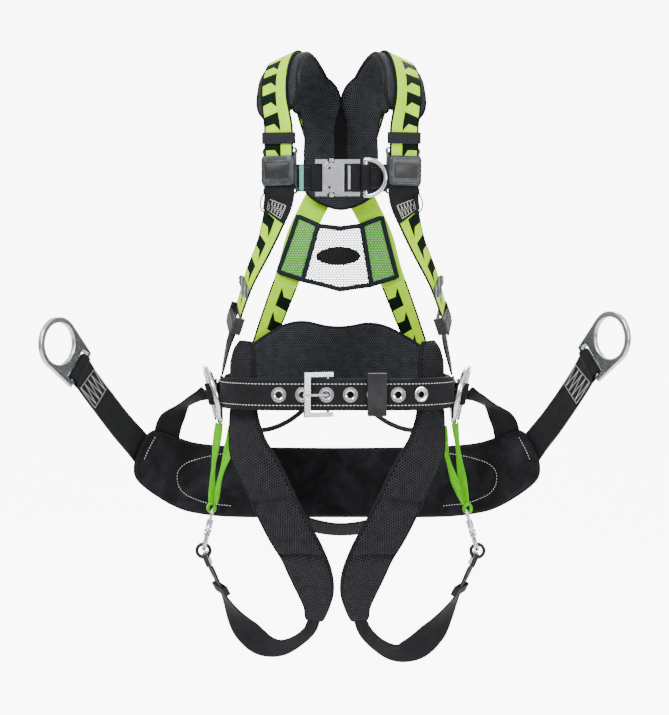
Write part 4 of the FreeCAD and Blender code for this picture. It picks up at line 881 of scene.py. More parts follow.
# ---------------------------------------------------------------- leg pads and straps
LEG_PAD = [
    (-130, -53, 71, -0.83, -0.55, 0.05, 0.45),
    (-132, -54, 60, -0.83, -0.55, 0.05, 0.75),
    (-133, -55, 30, -0.83, -0.55, 0.02, 0.9),
    (-133, -57, -10, -0.83, -0.55, -0.02, 0.95),
    (-133, -62, -40, -0.78, -0.62, -0.05),
    (-127, -76, -76, -0.6, -0.8, 0.0),
    (-106, -88, -116, -0.46, -0.88, 0.0),
    (-88, -93, -154, -0.4, -0.9, 0.0),
    (-70, -90, -191, -0.35, -0.92, -0.1),
    (-50, -79, -228, -0.3, -0.9, -0.3),
    (-38, -62, -260, -0.25, -0.85, -0.45, 0.97),
    (-31, -45, -289, -0.15, -0.85, -0.5, 0.78),
    (-30, -30, -314, -0.05, -0.85, -0.5, 0.52),
    (-33, -21, -331, 0.0, -0.85, -0.5, 0.38),
]
# Stations of each leg strap, from the pad's end round the back of the thigh to its adjuster.
LEG_STRAP = {
    "right": [
        (-33.3, -20.2, -332.4, 0.0, -0.85, -0.5, 0.42),
        (-39, -10, -348, 0.1, -0.8, -0.6, 0.45),
        (-57, 1, -366, 0.2, -0.75, -0.65, 0.58),
        (-84, 9, -378, 0.1, -0.8, -0.6, 0.82),
        (-108, 12, -374, -0.15, -0.85, -0.5),
        (-131, 9, -354, -0.4, -0.88, -0.2),
        (-147, 3, -331, -0.75, -0.62, 0.0),
        (-160, -3, -306, -0.93, -0.35, 0.0),
        (-176, -11, -272.5, -0.97, -0.25, 0.0, 0.9),
        (-184, -12, -254.5, -0.97, -0.25, 0.0, 0.8),
    ],
    "left": [
        (33.3, -20.2, -332.4, 0.0, -0.85, -0.5, 0.42),
        (41, -9, -351, -0.1, -0.8, -0.6, 0.5),
        (60, 2, -372, -0.2, -0.75, -0.65, 0.65),
        (88, 12, -386, -0.1, -0.8, -0.6, 0.86),
        (115, 13, -379, 0.15, -0.88, -0.4),
        (138, 9, -358, 0.4, -0.88, -0.2),
        (154, 3, -335, 0.75, -0.62, 0.0),
        (170, -3, -307, 0.93, -0.35, 0.0),
        (187, -11, -272, 0.97, -0.25, 0.0, 0.9),
        (194.4, -12, -255, 0.97, -0.25, 0.0, 0.8),
    ],
}
# The eye of each snap hook.
HOOK = {"right": (-181.4, -12, -179), "left": (188.7, -12, -180)}


def make_legs():
    """Each leg: pad and binding, webbing, hook and the gathered green loop that carries it."""
    for name, sign in (("right", -1), ("left", 1)):
        path = LEG_PAD if sign < 0 else mirror(LEG_PAD)
        lean = 9 if sign < 0 else -9
        folds = [
            (238, 0.95, 5.5, lean), (326, 0.85, 5.0, lean), (216, -0.12, 16, lean), (304, -0.12, 16, lean),
            (120, 0.12, 20, 0)
        ]
        _, around, out = soft_pad(
            f"{name}_leg_cushion", path, PAD_WIDE, PAD_THICK, pad_mesh, folds=folds,
            stands_for=f"{name}_leg_pad", slot="spacer_mesh"
        )
        tube(f"{name}_leg_binding", around, 2.5, binding_tape, squash=1.45, hints=out, loop=True)
        strap(
            f"{name}_leg_webbing", LEG_STRAP[name], black_webbing, stands_for=f"{name}_leg_strap",
            slot="black_webbing"
        )
        dress(f"{name}_leg_keeper", elastic_tape, 0.7)
        dress(f"{name}_snap_hook", forged_steel)
        dress(f"{name}_snap_gate", forged_steel, 0.4)
        # gathered green webbing from the belt down to the hook's eye: two twisted strands, wrapped at the eye
        top = np.array(HOOK[name], float)
        tie = top + np.array([-0.2 * sign * 11.6, 0, 11.6])
        for part, route in (
            
            ("outer", [
                (sign * 169, 8, -24), (sign * 173, 3, -62), (sign * 180, -5, -118),
                tuple(tie + [sign * 2.5, 0, 3]),
            ]),
            
            ("inner", [
                (sign * 154, -8, -52), (sign * 157, -12, -84), (sign * 170, -12, -130),
                tuple(tie + [-sign * 3, -1, 3]),
            ]),
        ):
            fine = through([(*p, 1, 0, 0) for p in route], 2.0)[0][:, :3]
            t = np.linspace(0, 1, len(fine))
            twist = 0.5 + 1.9 * t if part == "outer" else 2.6 - 2.4 * t
            hints = np.stack([np.cos(twist) * sign, -np.sin(twist) - 0.2, 0 * t], -1)
            share = 0.25 + 0.08 * np.sin(t * 9.0 + sign) - 0.08 * t**4
            more = {
                "stands_for": "hip_loops", "slot": "lime_webbing"
            } if part == "outer" and sign < 0 else {}
            band(
                f"{name}_hip_loop_{part}", fine, hints, lime_webbing, width=40, share=share, thick=3.4,
                **more
            )
        turn = np.linspace(0, math.tau, 40, endpoint=False)
        ring = top + np.array([sign * 0.5, 0, 8.8]) + np.stack(
            [5.0 * np.cos(turn), 2.4 * np.sin(turn * 2), 6.0 * np.sin(turn)], -1
        )
        tube(
            f"{name}_hip_loop_wrap", ring, 2.6, lime_webbing, squash=1.7,
            hints=np.tile([0.0, 1.0, 0.1], (40, 1)), loop=True
        )
    dress("leg_adjusters", black_steel, 0.6)


# ---------------------------------------------------------------- saddle seat
SEAT_HALF = [
    (0, -96), (-90, -94.5), (-160, -91), (-210, -84), (-240, -73), (-268, -62),
    (-285, -80), (-295, -114), (-286, -138), (-245, -171), (-206, -186.5), (-140, -195), (0, -197.5),
]
SEAT_RING_STRAP = [
    (-270, 42, -112, -0.45, 0.9, 0, 0.95), (-288, 25, -86, -0.6, 0.8, 0, 1.0),
    (-312, -18, -50, -0.75, 0.66, 0, 1.0),
    (-335, -57, -12, -0.8, 0.6, 0, 1.0), (-350, -79, 13, -0.8, 0.6, 0, 1.0),
    (-363.2, -95, 35.7, -0.8, 0.6, 0, 0.95),
]
SEAT_LINK = [
    (-256, 54, -98, -0.35, 0.93, 0, 0.9), (-251, 44, -70, -0.3, 0.93, -0.1, 0.9),
    (-241, 24, -43, -0.35, 0.8, 0.5, 0.9),
    (-222, 14, -22, -0.75, 0.3, 0.6, 0.9), (-202, 14, -10, -0.85, 0.3, 0.3, 0.8),
    (-186, 13, -3, -0.9, 0.4, 0.05, 0.75),
    (-175.5, 2, 0, -0.99, 0.1, 0, 0.75),
]
SEAT_EYE = {"right": (-388, -128, 72), "left": (381, -128, 80)}


def seat_place(x, z, h):
    """A point of the seat: on a cylinder about a vertical line in front, moved out by h."""
    x, z, h = np.broadcast_arrays(x, z, h)
    over = np.sqrt(SEAT_ROUND**2 - x**2)
    side = np.stack([x, over], -1) / SEAT_ROUND
    xy = np.stack([x, over - SEAT_FRONT], -1) + side * h[..., None]
    return np.concatenate([xy, z[..., None]], -1)


def make_seat():
    """The sling seat: its cushion, bindings and seams, the ring and link straps, and the strap underneath."""
    outline = closed_curve(np.array(SEAT_HALF + [(-x, z) for x, z in SEAT_HALF[-2:0:-1]], float), 320)
    centre = outline.mean(0)
    outline = centre + (outline - centre) * np.array([0.996, 0.985])

    def spine(o):
        """The line on which the seat is thickest, rising towards both ends."""
        x = np.clip(o[:, 0], -236, 236)
        return np.stack([x, -150 + 26 * np.clip(np.abs(x) / 236, 0, 1) ** 2.5], -1)

    def bulge(x, z, t):
        """Raised ends: a dome from SEAT_DOME out, a shallow pinch where it begins, and a slow unevenness."""
        out = np.clip((np.abs(x) - SEAT_DOME) / DOME_RUN, 0, 1)
        pinch = np.exp(-(((np.abs(x) - 236) / 9) ** 2))
        cloud = np.sin(x / 31.0 + 1.3) * np.sin(z / 17.0) + np.sin(x / 53.0) * np.cos(z / 23.0 + x / 90.0)
        return (1 - t**3) * (2.4 * out - 1.3 * pinch + 0.5 * cloud)

    _, edge, out = outline_pad(
        "seat_cushion", outline, spine, seat_place, 15.2, seat_suede, rim=0.5, bulge=bulge, rings=26,
        stands_for="seat_pad", slot="seat_fabric"
    )
    tube("seat_binding", edge, 2.6, binding_tape, squash=1.5, hints=out, loop=True)
    curve = [
        (-150, -97.5), (-184, -101), (-210, -106), (-229, -113), (-238.5, -124), (-239.5, -134),
        (-237, -145), (-227.5, -157.5), (-216, -164), (-202, -170), (-160, -178),
    ]
    tail = [(-271, -70), (-276, -79), (-282, -91), (-287, -103)]
    for side in (-1, 1):
        hand = "right" if side < 0 else "left"
        for label, corners, deep in (("patch", curve, 8.6), ("tail", tail, 9.2)):
            line = through([(x, 0, z, 0, -1, 0) for x, z in corners], 1.5)[0]
            x, z = line[:, 0] * -side, line[:, 2]
            lift = np.full(len(x), deep)
            if label == "patch":
                lift += 2.2 * np.clip((np.abs(x) - SEAT_DOME) / DOME_RUN, 0, 1)
                lift -= 1.2 * np.exp(-(((np.abs(x) - 236) / 9) ** 2))
            points = seat_place(x, z, -lift)
            back = seat_place(x, z, -lift + 1.0)
            seam(
                f"{hand}_seat_{label}_seam", points, unit(points - back), stitch=2.2, gap=2.0, wide=1.0,
                high=0.7
            )
        ring = SEAT_RING_STRAP
        if side > 0:
            ring = mirror([(s[0] + 1.4 * k, s[1], s[2] + 1.6 * k, *s[3:]) for k, s in enumerate(ring)])
        link = SEAT_LINK if side < 0 else mirror(SEAT_LINK)
        strap(
            f"{hand}_seat_link", link, black_webbing, stands_for=f"{hand}_seat_link_strap",
            slot="black_webbing"
        )
        turned_end(f"{hand}_seat_ring_webbing", ring, SEAT_EYE[hand], side)
        dress(f"{hand}_seat_d_ring", forged_steel, 0.0)
        long = through(ring, 1.0)[1][-1]
        for k, lift in enumerate((-2.9, 2.9)):
            tack_on(f"{hand}_seat_ring_tack_{k}", ring, long - 40, lift, 19, 20, 4)
    under = [
        (-78, 56, -190, 0, -0.6, -0.8, 0.8), (-45, 66, -203, 0, -0.6, -0.8, 0.8),
        (0, 72, -212, 0, -0.6, -0.8, 0.8),
        (45, 66, -207, 0, -0.6, -0.8, 0.8), (78, 56, -195, 0, -0.6, -0.8, 0.8),
    ]
    strap("under_seat_strap", under, black_webbing, stands_for="sub_pelvic_strap", slot="black_webbing")


def turned_end(name, stations, eye, sign):
    """Webbing that runs out to a ring's bar, turns round it and comes back on itself.

    Two plies, each half a ply from the line, joined by an arc of 6.9 mm about the bar.
    """
    out_axis = unit(np.array([sign * 0.45, -0.6, 0.66]))
    bar = np.array(eye, float) - out_axis * 55
    line, _ = through(stations, 4.0)
    _, _, out = frames_of(line[:, :3], line[:, 3:6])
    keep = np.linalg.norm(line[:, :3] - bar, axis=1) > 17
    p, n = line[keep, :3], out[keep]
    turn = np.linspace(0.75, math.tau - 0.75, 15)
    side = n[-1]
    ahead = unit(np.cross(np.cross(side, out_axis), side))
    arc = bar + np.outer(-np.cos(turn), ahead) * 6.9 + np.outer(np.sin(turn), side) * 6.9
    hint = unit(arc - bar)
    upper = p + n * 1.35
    lower = p - n * 1.35
    path = np.vstack([upper, arc, lower[::-1]])
    hints = np.vstack([n, hint, -n[::-1]])
    share = np.full(len(path), 0.95)
    band(
        name, path, hints, black_webbing, share=share, thick=2.4,
        stands_for=name.replace("webbing", "strap"), slot="black_webbing"
    )


# ---------------------------------------------------------------- shoulder harness
SHOULDER = [
    (-139, -56, 118, -0.97, -0.22, 0.1, 1.0), (-124, -76, 161, -0.95, -0.3, 0.05, 1.0),
    (-101, -98, 211, -0.88, -0.47, 0.0, 1.0),
    (-89, -112, 244, -0.7, -0.7, 0.0, 1.0), (-80, -124, 276, -0.4, -0.92, 0.0, 1.0),
    (-80.5, -124, 312, -0.4, -0.92, 0.0, 1.0),
    (-81, -124, 341, -0.4, -0.92, 0.0, 1.0), (-81.5, -124, 370, -0.4, -0.92, 0.0, 1.0),
    (-87, -103, 407, -0.55, -0.7, 0.4, 1.0),
    (-87, -64, 450, -0.5, -0.45, 0.75, 1.0), (-77, -12, 479, -0.4, 0.0, 0.9, 1.0),
    (-63, 45, 475, -0.3, 0.45, 0.85, 1.0),
    (-51, 97, 448, -0.15, 0.8, 0.6, 1.0), (-40, 122, 416, -0.05, 0.95, 0.3, 1.0),
    (-24, 127.5, 365, 0, 1, 0, 1.0),
    (-4, 127.5, 308, 0, 1, 0, 1.0),
]


def shoulder_path(side):
    """Stations of a shoulder strap; the left one lies over the right one where they cross at the back."""
    if side == "right":
        return SHOULDER
    return [
        (x, y + (4.2 if z < 420 and y > 0 else 0), z, *rest) for x, y, z, *rest in mirror(SHOULDER, SHIFT)
    ]


def between(one, two, share):
    """The station that is a share of the way from one to two."""
    return tuple(a + (b - a) * share for a, b in zip(one, two))


def reach_at(line, reach, height):
    """Distance along a shoulder strap at a height on its way up the front."""
    top = np.argmax(line[:, 2])
    return float(np.interp(height, line[:top, 2], reach[:top]))


def make_shoulders():
    """Each shoulder: strap, cushion, yoke lobe, sewn section, rolled tail and the elastic keeper."""
    for side in ("right", "left"):
        path = shoulder_path(side)
        strap(
            f"{side}_shoulder_strap", path, figured_webbing, step=3.0, flip=side == "right",
            stands_for=f"{side}_shoulder_webbing", slot="patterned_webbing"
        )
        plain = SHOULDER if side == "right" else mirror(SHOULDER, SHIFT)
        under = [between(plain[7], plain[8], 0.7), *plain[8:13], between(plain[12], plain[13], 0.7)]
        sign = 1 if side == "right" else -1
        shares, leans = (0.75, 0.95, 1, 1, 1, 1, 1), (0, 0, 0, 0, 0, 6, 9)
        pad_path = [(s[0] + sign * lean, *s[1:6], share) for s, share, lean in zip(under, shares, leans)]
        lift = -PLY / 2 - 1.6 - 6.5
        _, around, out = soft_pad(
            f"{side}_shoulder_cushion", pad_path, PAD_WIDE, PAD_THICK, yoke_mesh, inner=lift,
            stands_for=f"{side}_shoulder_pad", slot="spacer_mesh"
        )
        tube(f"{side}_shoulder_binding", around, 2.5, binding_tape, squash=1.4, hints=out, loop=True)
        # the raised lobe that runs on from the shoulder cushion down the dorsal pad
        lobe = [
            (-44, 88, 449, 0, 0.75, 0.62, 1.35), (-27, 103, 424, 0, 0.9, 0.4, 1.5),
            (-26.5, 108.2, 402, 0, 1, 0.1, 1.22),
            (-26.5, 109.3, 378, 0, 1, 0, 1.0), (-27, 109.3, 342, 0, 1, 0, 1.0),
            (-28, 110, 304, 0, 1, 0, 0.8),
        ]
        _, rim_line, rim_out = soft_pad(
            f"{side}_yoke_lobe", lobe if sign > 0 else mirror(lobe, SHIFT), 44, 14.0, yoke_mesh, rim=0.3
        )
        tube(f"{side}_yoke_lobe_piping", rim_line, 1.5, binding_tape, squash=1.6, hints=rim_out, loop=True)
        # black webbing sewn over the strap below the housing, with its box of white zigzag
        line, reach = through(path, 1.0)
        low, high = reach_at(line, reach, HOUSING_Z - 64), reach_at(line, reach, HOUSING_Z - 19)
        keep = (reach >= low) & (reach <= high)
        band(
            f"{side}_sewn_section", line[keep, :3][::2], line[keep, 3:6][::2], black_webbing,
            width=WEBBING + 1.6, thick=1.5, lift=2.05
        )
        tack_on(f"{side}_sewn_box", path, low + 14, 3.1, 14, 9, 5)
        # the folded tail of the strap, ribbed, above the adjuster
        roll_at = reach_at(line, reach, ROLL_Z)
        spot, across, along, outward = spot_on(path, roll_at)
        for k, (shift, radius) in enumerate(((0.0, 3.9), (-6.6, 2.9))):
            ends = [
                spot + along * shift + outward * (radius + 1.0) + across * w for w in np.linspace(-21, 21, 14)
            ]
            tube(f"{side}_rolled_tail_{k}", ends, radius, grey_tape, hints=np.tile(outward, (14, 1)))
        tack_on(f"{side}_tail_tack", path, roll_at - 17, 1.5, 16, 4, 4)
        keeper_at = reach_at(line, reach, KEEPER_Z)
        more = {
            "body": f"shoulder_keeper_{side}", "stands_for": f"{side}_shoulder_keeper", "slot": "elastic"
        }
        sleeve(f"{side}_keeper_sleeve", path, keeper_at, 16, elastic_tape, slack=1.25, **more)


DORSAL_HALF = [
    (0, 417), (-22, 417.5), (-45, 417), (-65, 411), (-54, 391), (-53, 345), (-55, 299), (-36, 277),
    (0, 265),
]


def make_back():
    """The dorsal pad, its plate and ring, and the two webs down to the belt."""
    corners = [(SHIFT + x, z) for x, z in DORSAL_HALF] + [(SHIFT - x, z) for x, z in DORSAL_HALF[-2:0:-1]]
    outline = closed_curve(np.array(corners, float), 260)

    def spine(o):
        """A short upright line up the middle of the pad."""
        return np.stack([np.full(len(o), SHIFT), np.clip(o[:, 1], 300, 385)], -1)

    def place(x, z, h):
        """The pad lies flat against the back."""
        x, z, h = np.broadcast_arrays(x, z, h)
        return np.stack([x, 110.5 + h, z], -1)

    def lobes(x, z, t):
        """A raised lobe either side of a channel down the middle, both ending at the ring's height."""
        a = np.abs(x - SHIFT)
        upper = np.clip((z - 300) / 26, 0, 1)
        edge = np.clip((a - 6.5) / 5, 0, 1) * np.clip((47 - a) / 9, 0, 1)
        return (1 - t**6) * upper * (1.2 * np.sqrt(edge) - 2.0 * (a < 9))

    _, edge, out = outline_pad(
        "dorsal_cushion", outline, spine, place, 10.0, yoke_mesh, bulge=lobes, rings=24,
        stands_for="dorsal_pad", slot="spacer_mesh"
    )
    tube("dorsal_binding", edge, 2.4, binding_tape, squash=1.5, hints=out, loop=True)
    line = np.linspace((SHIFT, 106.4, 421), (SHIFT, 106.4, 296), 40)
    band("dorsal_channel", line, np.tile([0, -1.0, 0], (40, 1)), lining, width=21, thick=1.4)
    slab(
        "dorsal_plate", rounded_box(37, 31, 13), (SHIFT, 137.2, 318), (1, 0, 0), (0, 0, 1), (-2.0, 2.0),
        black_plastic, 0.8, stands_for="dorsal_web_plate", slot="black_plastic"
    )
    turn = np.linspace(-2.2, 2.2, 17)
    loop = np.stack([np.full(17, SHIFT), 144.6 + 6.2 * np.cos(turn), 318 + 6.2 * np.sin(turn)], -1)
    loop = np.vstack([[(SHIFT, 139.4, 306)], loop, [(SHIFT, 139.4, 330)]])
    side = unit(loop - np.array([SHIFT, 144.6, 318]))
    band("dorsal_ring_loop", loop, side, black_webbing, width=44, thick=2.4)
    dress("dorsal_d_ring", forged_steel)
    turn = np.linspace(0, math.tau, 60)
    oval = np.stack([SHIFT + 30 * np.cos(turn), np.full(60, 139.4), 318 + 25 * np.sin(turn)], -1)
    seam("dorsal_plate_seam", oval, np.tile([0, 1.0, 0], (60, 1)), grey_thread)

    web = [
        (-22, 129.5, 292, 0, 1, 0, 0.9), (-41, 126.5, 256, 0, 1, 0, 0.88), (-56, 122, 225, 0, 1, 0, 0.85),
        (-72, 120, 168, -0.1, 1, 0, 0.85),
        (-88, 119, 125, -0.3, 0.95, 0, 0.85), (-104, 115, 82, -0.5, 0.85, 0, 0.85),
        (-118, 103, 40, -0.6, 0.8, 0, 0.85),
    ]
    for hand, path in (("right", web), ("left", mirror(web, SHIFT - 2))):
        line, _ = through(path, 3.0)
        k = int(np.argmin(np.abs(line[:, 2] - 152)))
        for part, rows, finish in (
            ("upper", slice(0, k + 1), plain_lime), ("lower", slice(k, None), figured_webbing)
        ):
            more = {
                "stands_for": "back_webbings", "slot": "patterned_webbing"
            } if (hand, part) == ("right", "upper") else {}
            band(
                f"{hand}_back_web_{part}", line[rows, :3], line[rows, 3:6], finish, share=line[rows, 6],
                flip=hand == "left", **more
            )
    make_panel()


PANEL = [
    (-61, 256), (-28, 242), (5, 239), (37, 242), (70, 254), (93, 162), (52, 148.5), (5, 141), (-52, 156),
    (-91, 170)
]


def inside(points, corners):
    """True where a flat point is inside a polygon, by counting the edges that a ray to the right crosses."""
    x, z = points[:, 0:1], points[:, 1:2]
    a = np.asarray(corners, float)
    b = np.roll(a, -1, 0)
    crosses = (a[:, 1] > z) != (b[:, 1] > z)
    with np.errstate(divide="ignore", invalid="ignore"):
        at = a[:, 0] + (z - a[:, 1]) * (b[:, 0] - a[:, 0]) / (b[:, 1] - a[:, 1])
    return (np.sum(crosses & (x < at), axis=1) % 2) == 1


def net(name, corners, cell, strand, depth, finish, dots=None, **more):
    """Netting: a honeycomb of cell mm in a polygon, each side of a cell a flat six-sided strand, and a
    small knot at each meeting when dots is given."""
    low, high = np.min(corners, 0), np.max(corners, 0)
    columns, rows = int((high[0] - low[0]) / cell) + 3, int((high[1] - low[1]) / (cell * 0.866)) + 3
    i, j = np.meshgrid(np.arange(columns), np.arange(rows), indexing="ij")
    centre = np.stack([low[0] + (i + 0.5 * (j % 2)) * cell, low[1] + j * cell * 0.866], -1).reshape(-1, 2)
    r = cell / math.sqrt(3)
    turn = np.radians([90, 30, -30, -90])
    ring = centre[:, None] + r * np.stack([np.cos(turn), np.sin(turn)], -1)[None]
    ends = np.stack([ring[:, :-1], ring[:, 1:]], 2).reshape(-1, 2, 2)
    ends = ends[inside(ends[:, 0], corners) & inside(ends[:, 1], corners)]
    way = unit(ends[:, 1] - ends[:, 0])
    side = np.stack([-way[:, 1], way[:, 0]], -1)
    turn = np.arange(6) / 6 * math.tau
    flat = ends[:, :, None] + side[:, None, None] * (np.cos(turn) * strand)[None, None, :, None]
    deep = depth + np.broadcast_to((np.sin(turn) * 0.35)[None, None], flat.shape[:3])
    grid = np.stack([flat[..., 0], deep, flat[..., 1]], -1).reshape(-1, 3)
    one = np.array([[j, (j + 1) % 6, 6 + (j + 1) % 6, 6 + j] for j in range(6)])
    faces = (one[None] + (np.arange(len(ends)) * 12)[:, None, None]).reshape(-1, 4).tolist()
    for k in range(len(ends)):
        faces += [list(range(k * 12, k * 12 + 6)), list(range(k * 12 + 6, k * 12 + 12))]
    made = make_piece(name, grid, faces, finish, sharp=60, **more)
    if dots is not None:
        knots = np.unique(np.round(ends.reshape(-1, 2), 2), axis=0)[::2]
        ball = np.array(
            [(1, 0, 0), (-1, 0, 0), (0, 1, 0), (0, -1, 0), (0, 0, 1), (0, 0, -1)]
        ) * np.array([0.75, 0.5, 0.75])
        points = (
            np.stack(
                [knots[:, 0], np.full(len(knots), depth - 0.45), knots[:, 1]], -1
            )[:, None] + ball[None]
        ).reshape(-1, 3)
        tri = np.array(
            [(0, 2, 4), (2, 1, 4), (1, 3, 4), (3, 0, 4), (2, 0, 5), (1, 2, 5), (3, 1, 5), (0, 3, 5)]
        )
        make_piece(
            name + "_knots", points,
            (tri[None] + (np.arange(len(knots)) * 6)[:, None, None]).reshape(-1, 3).tolist(), dots
        )
    return made


def make_panel():
    """The panel between the back webs: a grey net, a green one on each side over white lining, a binding."""
    middle = [(-27, 240), (5, 237.5), (36, 240), (51, 150), (5, 143), (-51, 156)]
    net("net_middle", middle, 4.2, 0.7, 112.8, grey_net, stands_for="back_panel_mesh", slot="panel_mesh")
    net("net_right", [(-60, 253), (-29, 241), (-53, 157), (-88, 170)], 4.1, 0.95, 112.8, green_net)
    net("net_left", [(38, 241), (69, 252), (91, 163), (53, 150)], 4.1, 0.95, 112.8, green_net)
    for hand, corners in (
        ("right", [(-60, 252), (-29, 240), (-53, 157), (-87, 170)]),
        ("left", [(38, 240), (69, 251), (90, 163), (53, 150)]),
    ):
        slab(
            f"{hand}_net_lining", np.array(corners, float), (0, 114.4, 0), (1, 0, 0), (0, 0, 1),
            (-0.3, 0.3), white_lining, 0.2
        )
    lens = [
        (-31, 193), (-22, 184.5), (2, 180.5), (26, 185), (35, 193.5), (28, 203), (3, 208.5), (-23, 202.5)
    ]
    slab(
        "net_lens", closed_curve(np.array(lens, float), 60), (0, 111.9, 0), (1, 0, 0), (0, 0, 1),
        (-0.6, 0.5), binding_tape, 0.4
    )
    rim = np.array(PANEL, float)
    edge = np.vstack([np.linspace(a, b, 12, endpoint=False) for a, b in zip(rim, np.roll(rim, -1, 0))])
    centre = rim.mean(0)
    edge = edge - unit(edge - centre) * 3.2
    points = np.stack([edge[:, 0], np.full(len(edge), 112.8), edge[:, 1]], -1)
    tube(
        "panel_binding", points, 3.6, slate_tape, squash=0.35,
        hints=np.tile([0, -1.0, 0], (len(points), 1)), loop=True, stands_for="back_panel_trim",
        slot="panel_trim"
    )
    for hand, top, low, low_z in (("right", -28, -52, 155), ("left", 37, 52, 148)):
        line = np.linspace((top, 111.6, 241), (low, 111.6, low_z), 24)
        band(f"{hand}_panel_post", line, np.tile([0, -1.0, 0], (24, 1)), slate_tape, width=7.5, thick=1.2)


# ---------------------------------------------------------------- chest strap
def make_chest():
    """The chest strap: the buckle's plates and rivets, its webbing loops, the ring's loop and the label."""
    x_axis, z_axis = (1, 0, 0), (0, 0, 1)

    def y(depth):
        """Depth from the chest strap's middle."""
        return depth - 128.0

    dress("chest_buckle_female", cast_alloy, 0.9)
    dress("chest_buckle_male", cast_alloy, 0.9)
    for level in ("upper", "lower"):
        dress(f"chest_release_{level}", cast_alloy, 0.7)
    # the notched face plate of the buckle and its rivets
    star = [
        (-18.6, 16.0), (-14.6, 19.8), (-12.4, 22.6), (-10.2, 19.6), (-6.8, 18.0), (-1, 21.6), (4.5, 21.8),
        (9.4, 18.5),
        (9.4, 4.5), (8.4, 2.2), (8.4, -2.2), (9.4, -4.5), (9.4, -18.5), (4.5, -21.8), (-1, -21.6),
        (-6.8, -18.0),
        (-10.2, -19.6), (-12.4, -22.6), (-14.6, -19.8), (-18.6, -16.0), (-15.6, -9), (-17.4, -4),
        (-17.4, 4), (-15.6, 9),
    ]
    slab("chest_face_plate", star, (-0.6, -137.6, 302), x_axis, z_axis, (-0.8, 1.4), cast_alloy, 0.7)
    for k, (x, z) in enumerate(((-10.6, 13.4), (-10.6, -13.4))):
        ring = rounded_box(2.0, 2.0, 1.99, 6)
        slab(f"chest_rivet_{k}", ring, (x, -138.6, 302 + z), x_axis, z_axis, (-0.9, 0.6), black_steel, 0.4)
    # the front bar of the frame, over the webbing that turns through it
    slab(
        "chest_frame_bar", rounded_box(1.7, 16.4, 0.8), (16.6, -138.2, 302), x_axis, z_axis, (-0.7, 0.9),
        cast_alloy, 0.5
    )
    slab(
        "chest_face_step", rounded_box(11.0, 15.5, 3.0), (-2.6, -138.4, 302), x_axis, z_axis, (-0.7, 0.5),
        cast_alloy, 0.5
    )

    def flat_loop(name, corners, thick, width=38.0, body="harness", **more):
        """Webbing seen edge on: a line in the horizontal plane, rounded at its corners."""
        line, _ = through([(x, d, 302, 0, 0, 1) for x, d in corners], 1.2)
        points = line[:, :3]
        along = unit(np.gradient(points, axis=0))
        hints = np.cross(along, np.tile([0, 0, 1.0], (len(points), 1)))
        return band(name, points, hints, black_webbing, width=width, thick=thick, body=body, **more)

    flat_loop(
        "buckle_male_loop",
        [(-35.5, y(-1.0)), (-28, y(-2.2)), (-22, y(-3.6)), (-17, y(-0.75)), (-14.6, y(-0.75))], 1.9,
        body="chest_male", stands_for="chest_strap_loop", slot="black_webbing"
    )
    flat_loop(
        "right_chest_webbing", [(-57, y(2.0)), (-48, y(2.1)), (-38, y(2.1)), (-31, y(2.0))], 2.5,
        stands_for="right_chest_strap", slot="black_webbing"
    )
    flat_loop(
        "left_chest_webbing",
        [
            (68, y(0.9)), (58, y(1.0)), (48, y(0.6)), (38, y(0.8)), (30, y(1.0)), (24, y(0.0)),
            (22.4, y(-1.0))
        ],
        2.4, stands_for="left_chest_strap", slot="black_webbing"
    )
    flat_loop(
        "left_chest_turn",
        [
            (27, y(-0.2)), (22, y(-0.6)), (17, y(-0.8)), (12.4, y(-1.4)), (11.3, y(-4.3)), (12.4, y(-7.6)),
            (17, y(-8.0)), (23, y(-8.1)), (29, y(-7.0)), (32, y(-4.0))
        ],
        1.9
    )
    turn = np.linspace(2.5, -2.5, 19)
    arc = np.stack([39.3 + 4.9 * np.sin(turn), -132 - 4.9 * np.cos(turn), np.full(19, 302.0)], -1)
    around = np.vstack([[(55, -129.6, 302), (47, -129.9, 302)], arc, [(30, -129.6, 302)]])
    hints = unit(around - np.array([39.3, -132, 302]))
    band("chest_ring_loop", around, hints, black_webbing, width=36, thick=2.0)
    flat_loop(
        "left_chest_patch", [(61, y(-2.6)), (55, y(-2.8)), (45, y(-2.8)), (41, y(-2.6))], 1.8, width=36.5
    )
    dress("chest_d_ring", forged_steel)
    out = np.tile([0, -1.0, 0], (24, 1))
    for k, z in enumerate((-14, 14)):
        seam(
            f"chest_seam_{k}", np.linspace((41.5, -131.9, 302 + z), (60, -131.9, 302 + z), 24), out,
            grey_thread
        )
        seam(
            f"chest_right_seam_{k}", np.linspace((-56, -127.4, 302 + z), (-31.5, -127.4, 302 + z), 24), out,
            grey_thread
        )
    slab(
        "chest_label", rounded_box(3.0, 17.5, 0.6, 3), (-49.5, -127.5, 302), x_axis, z_axis, (-0.35, 0.4),
        label_cloth, 0.2
    )


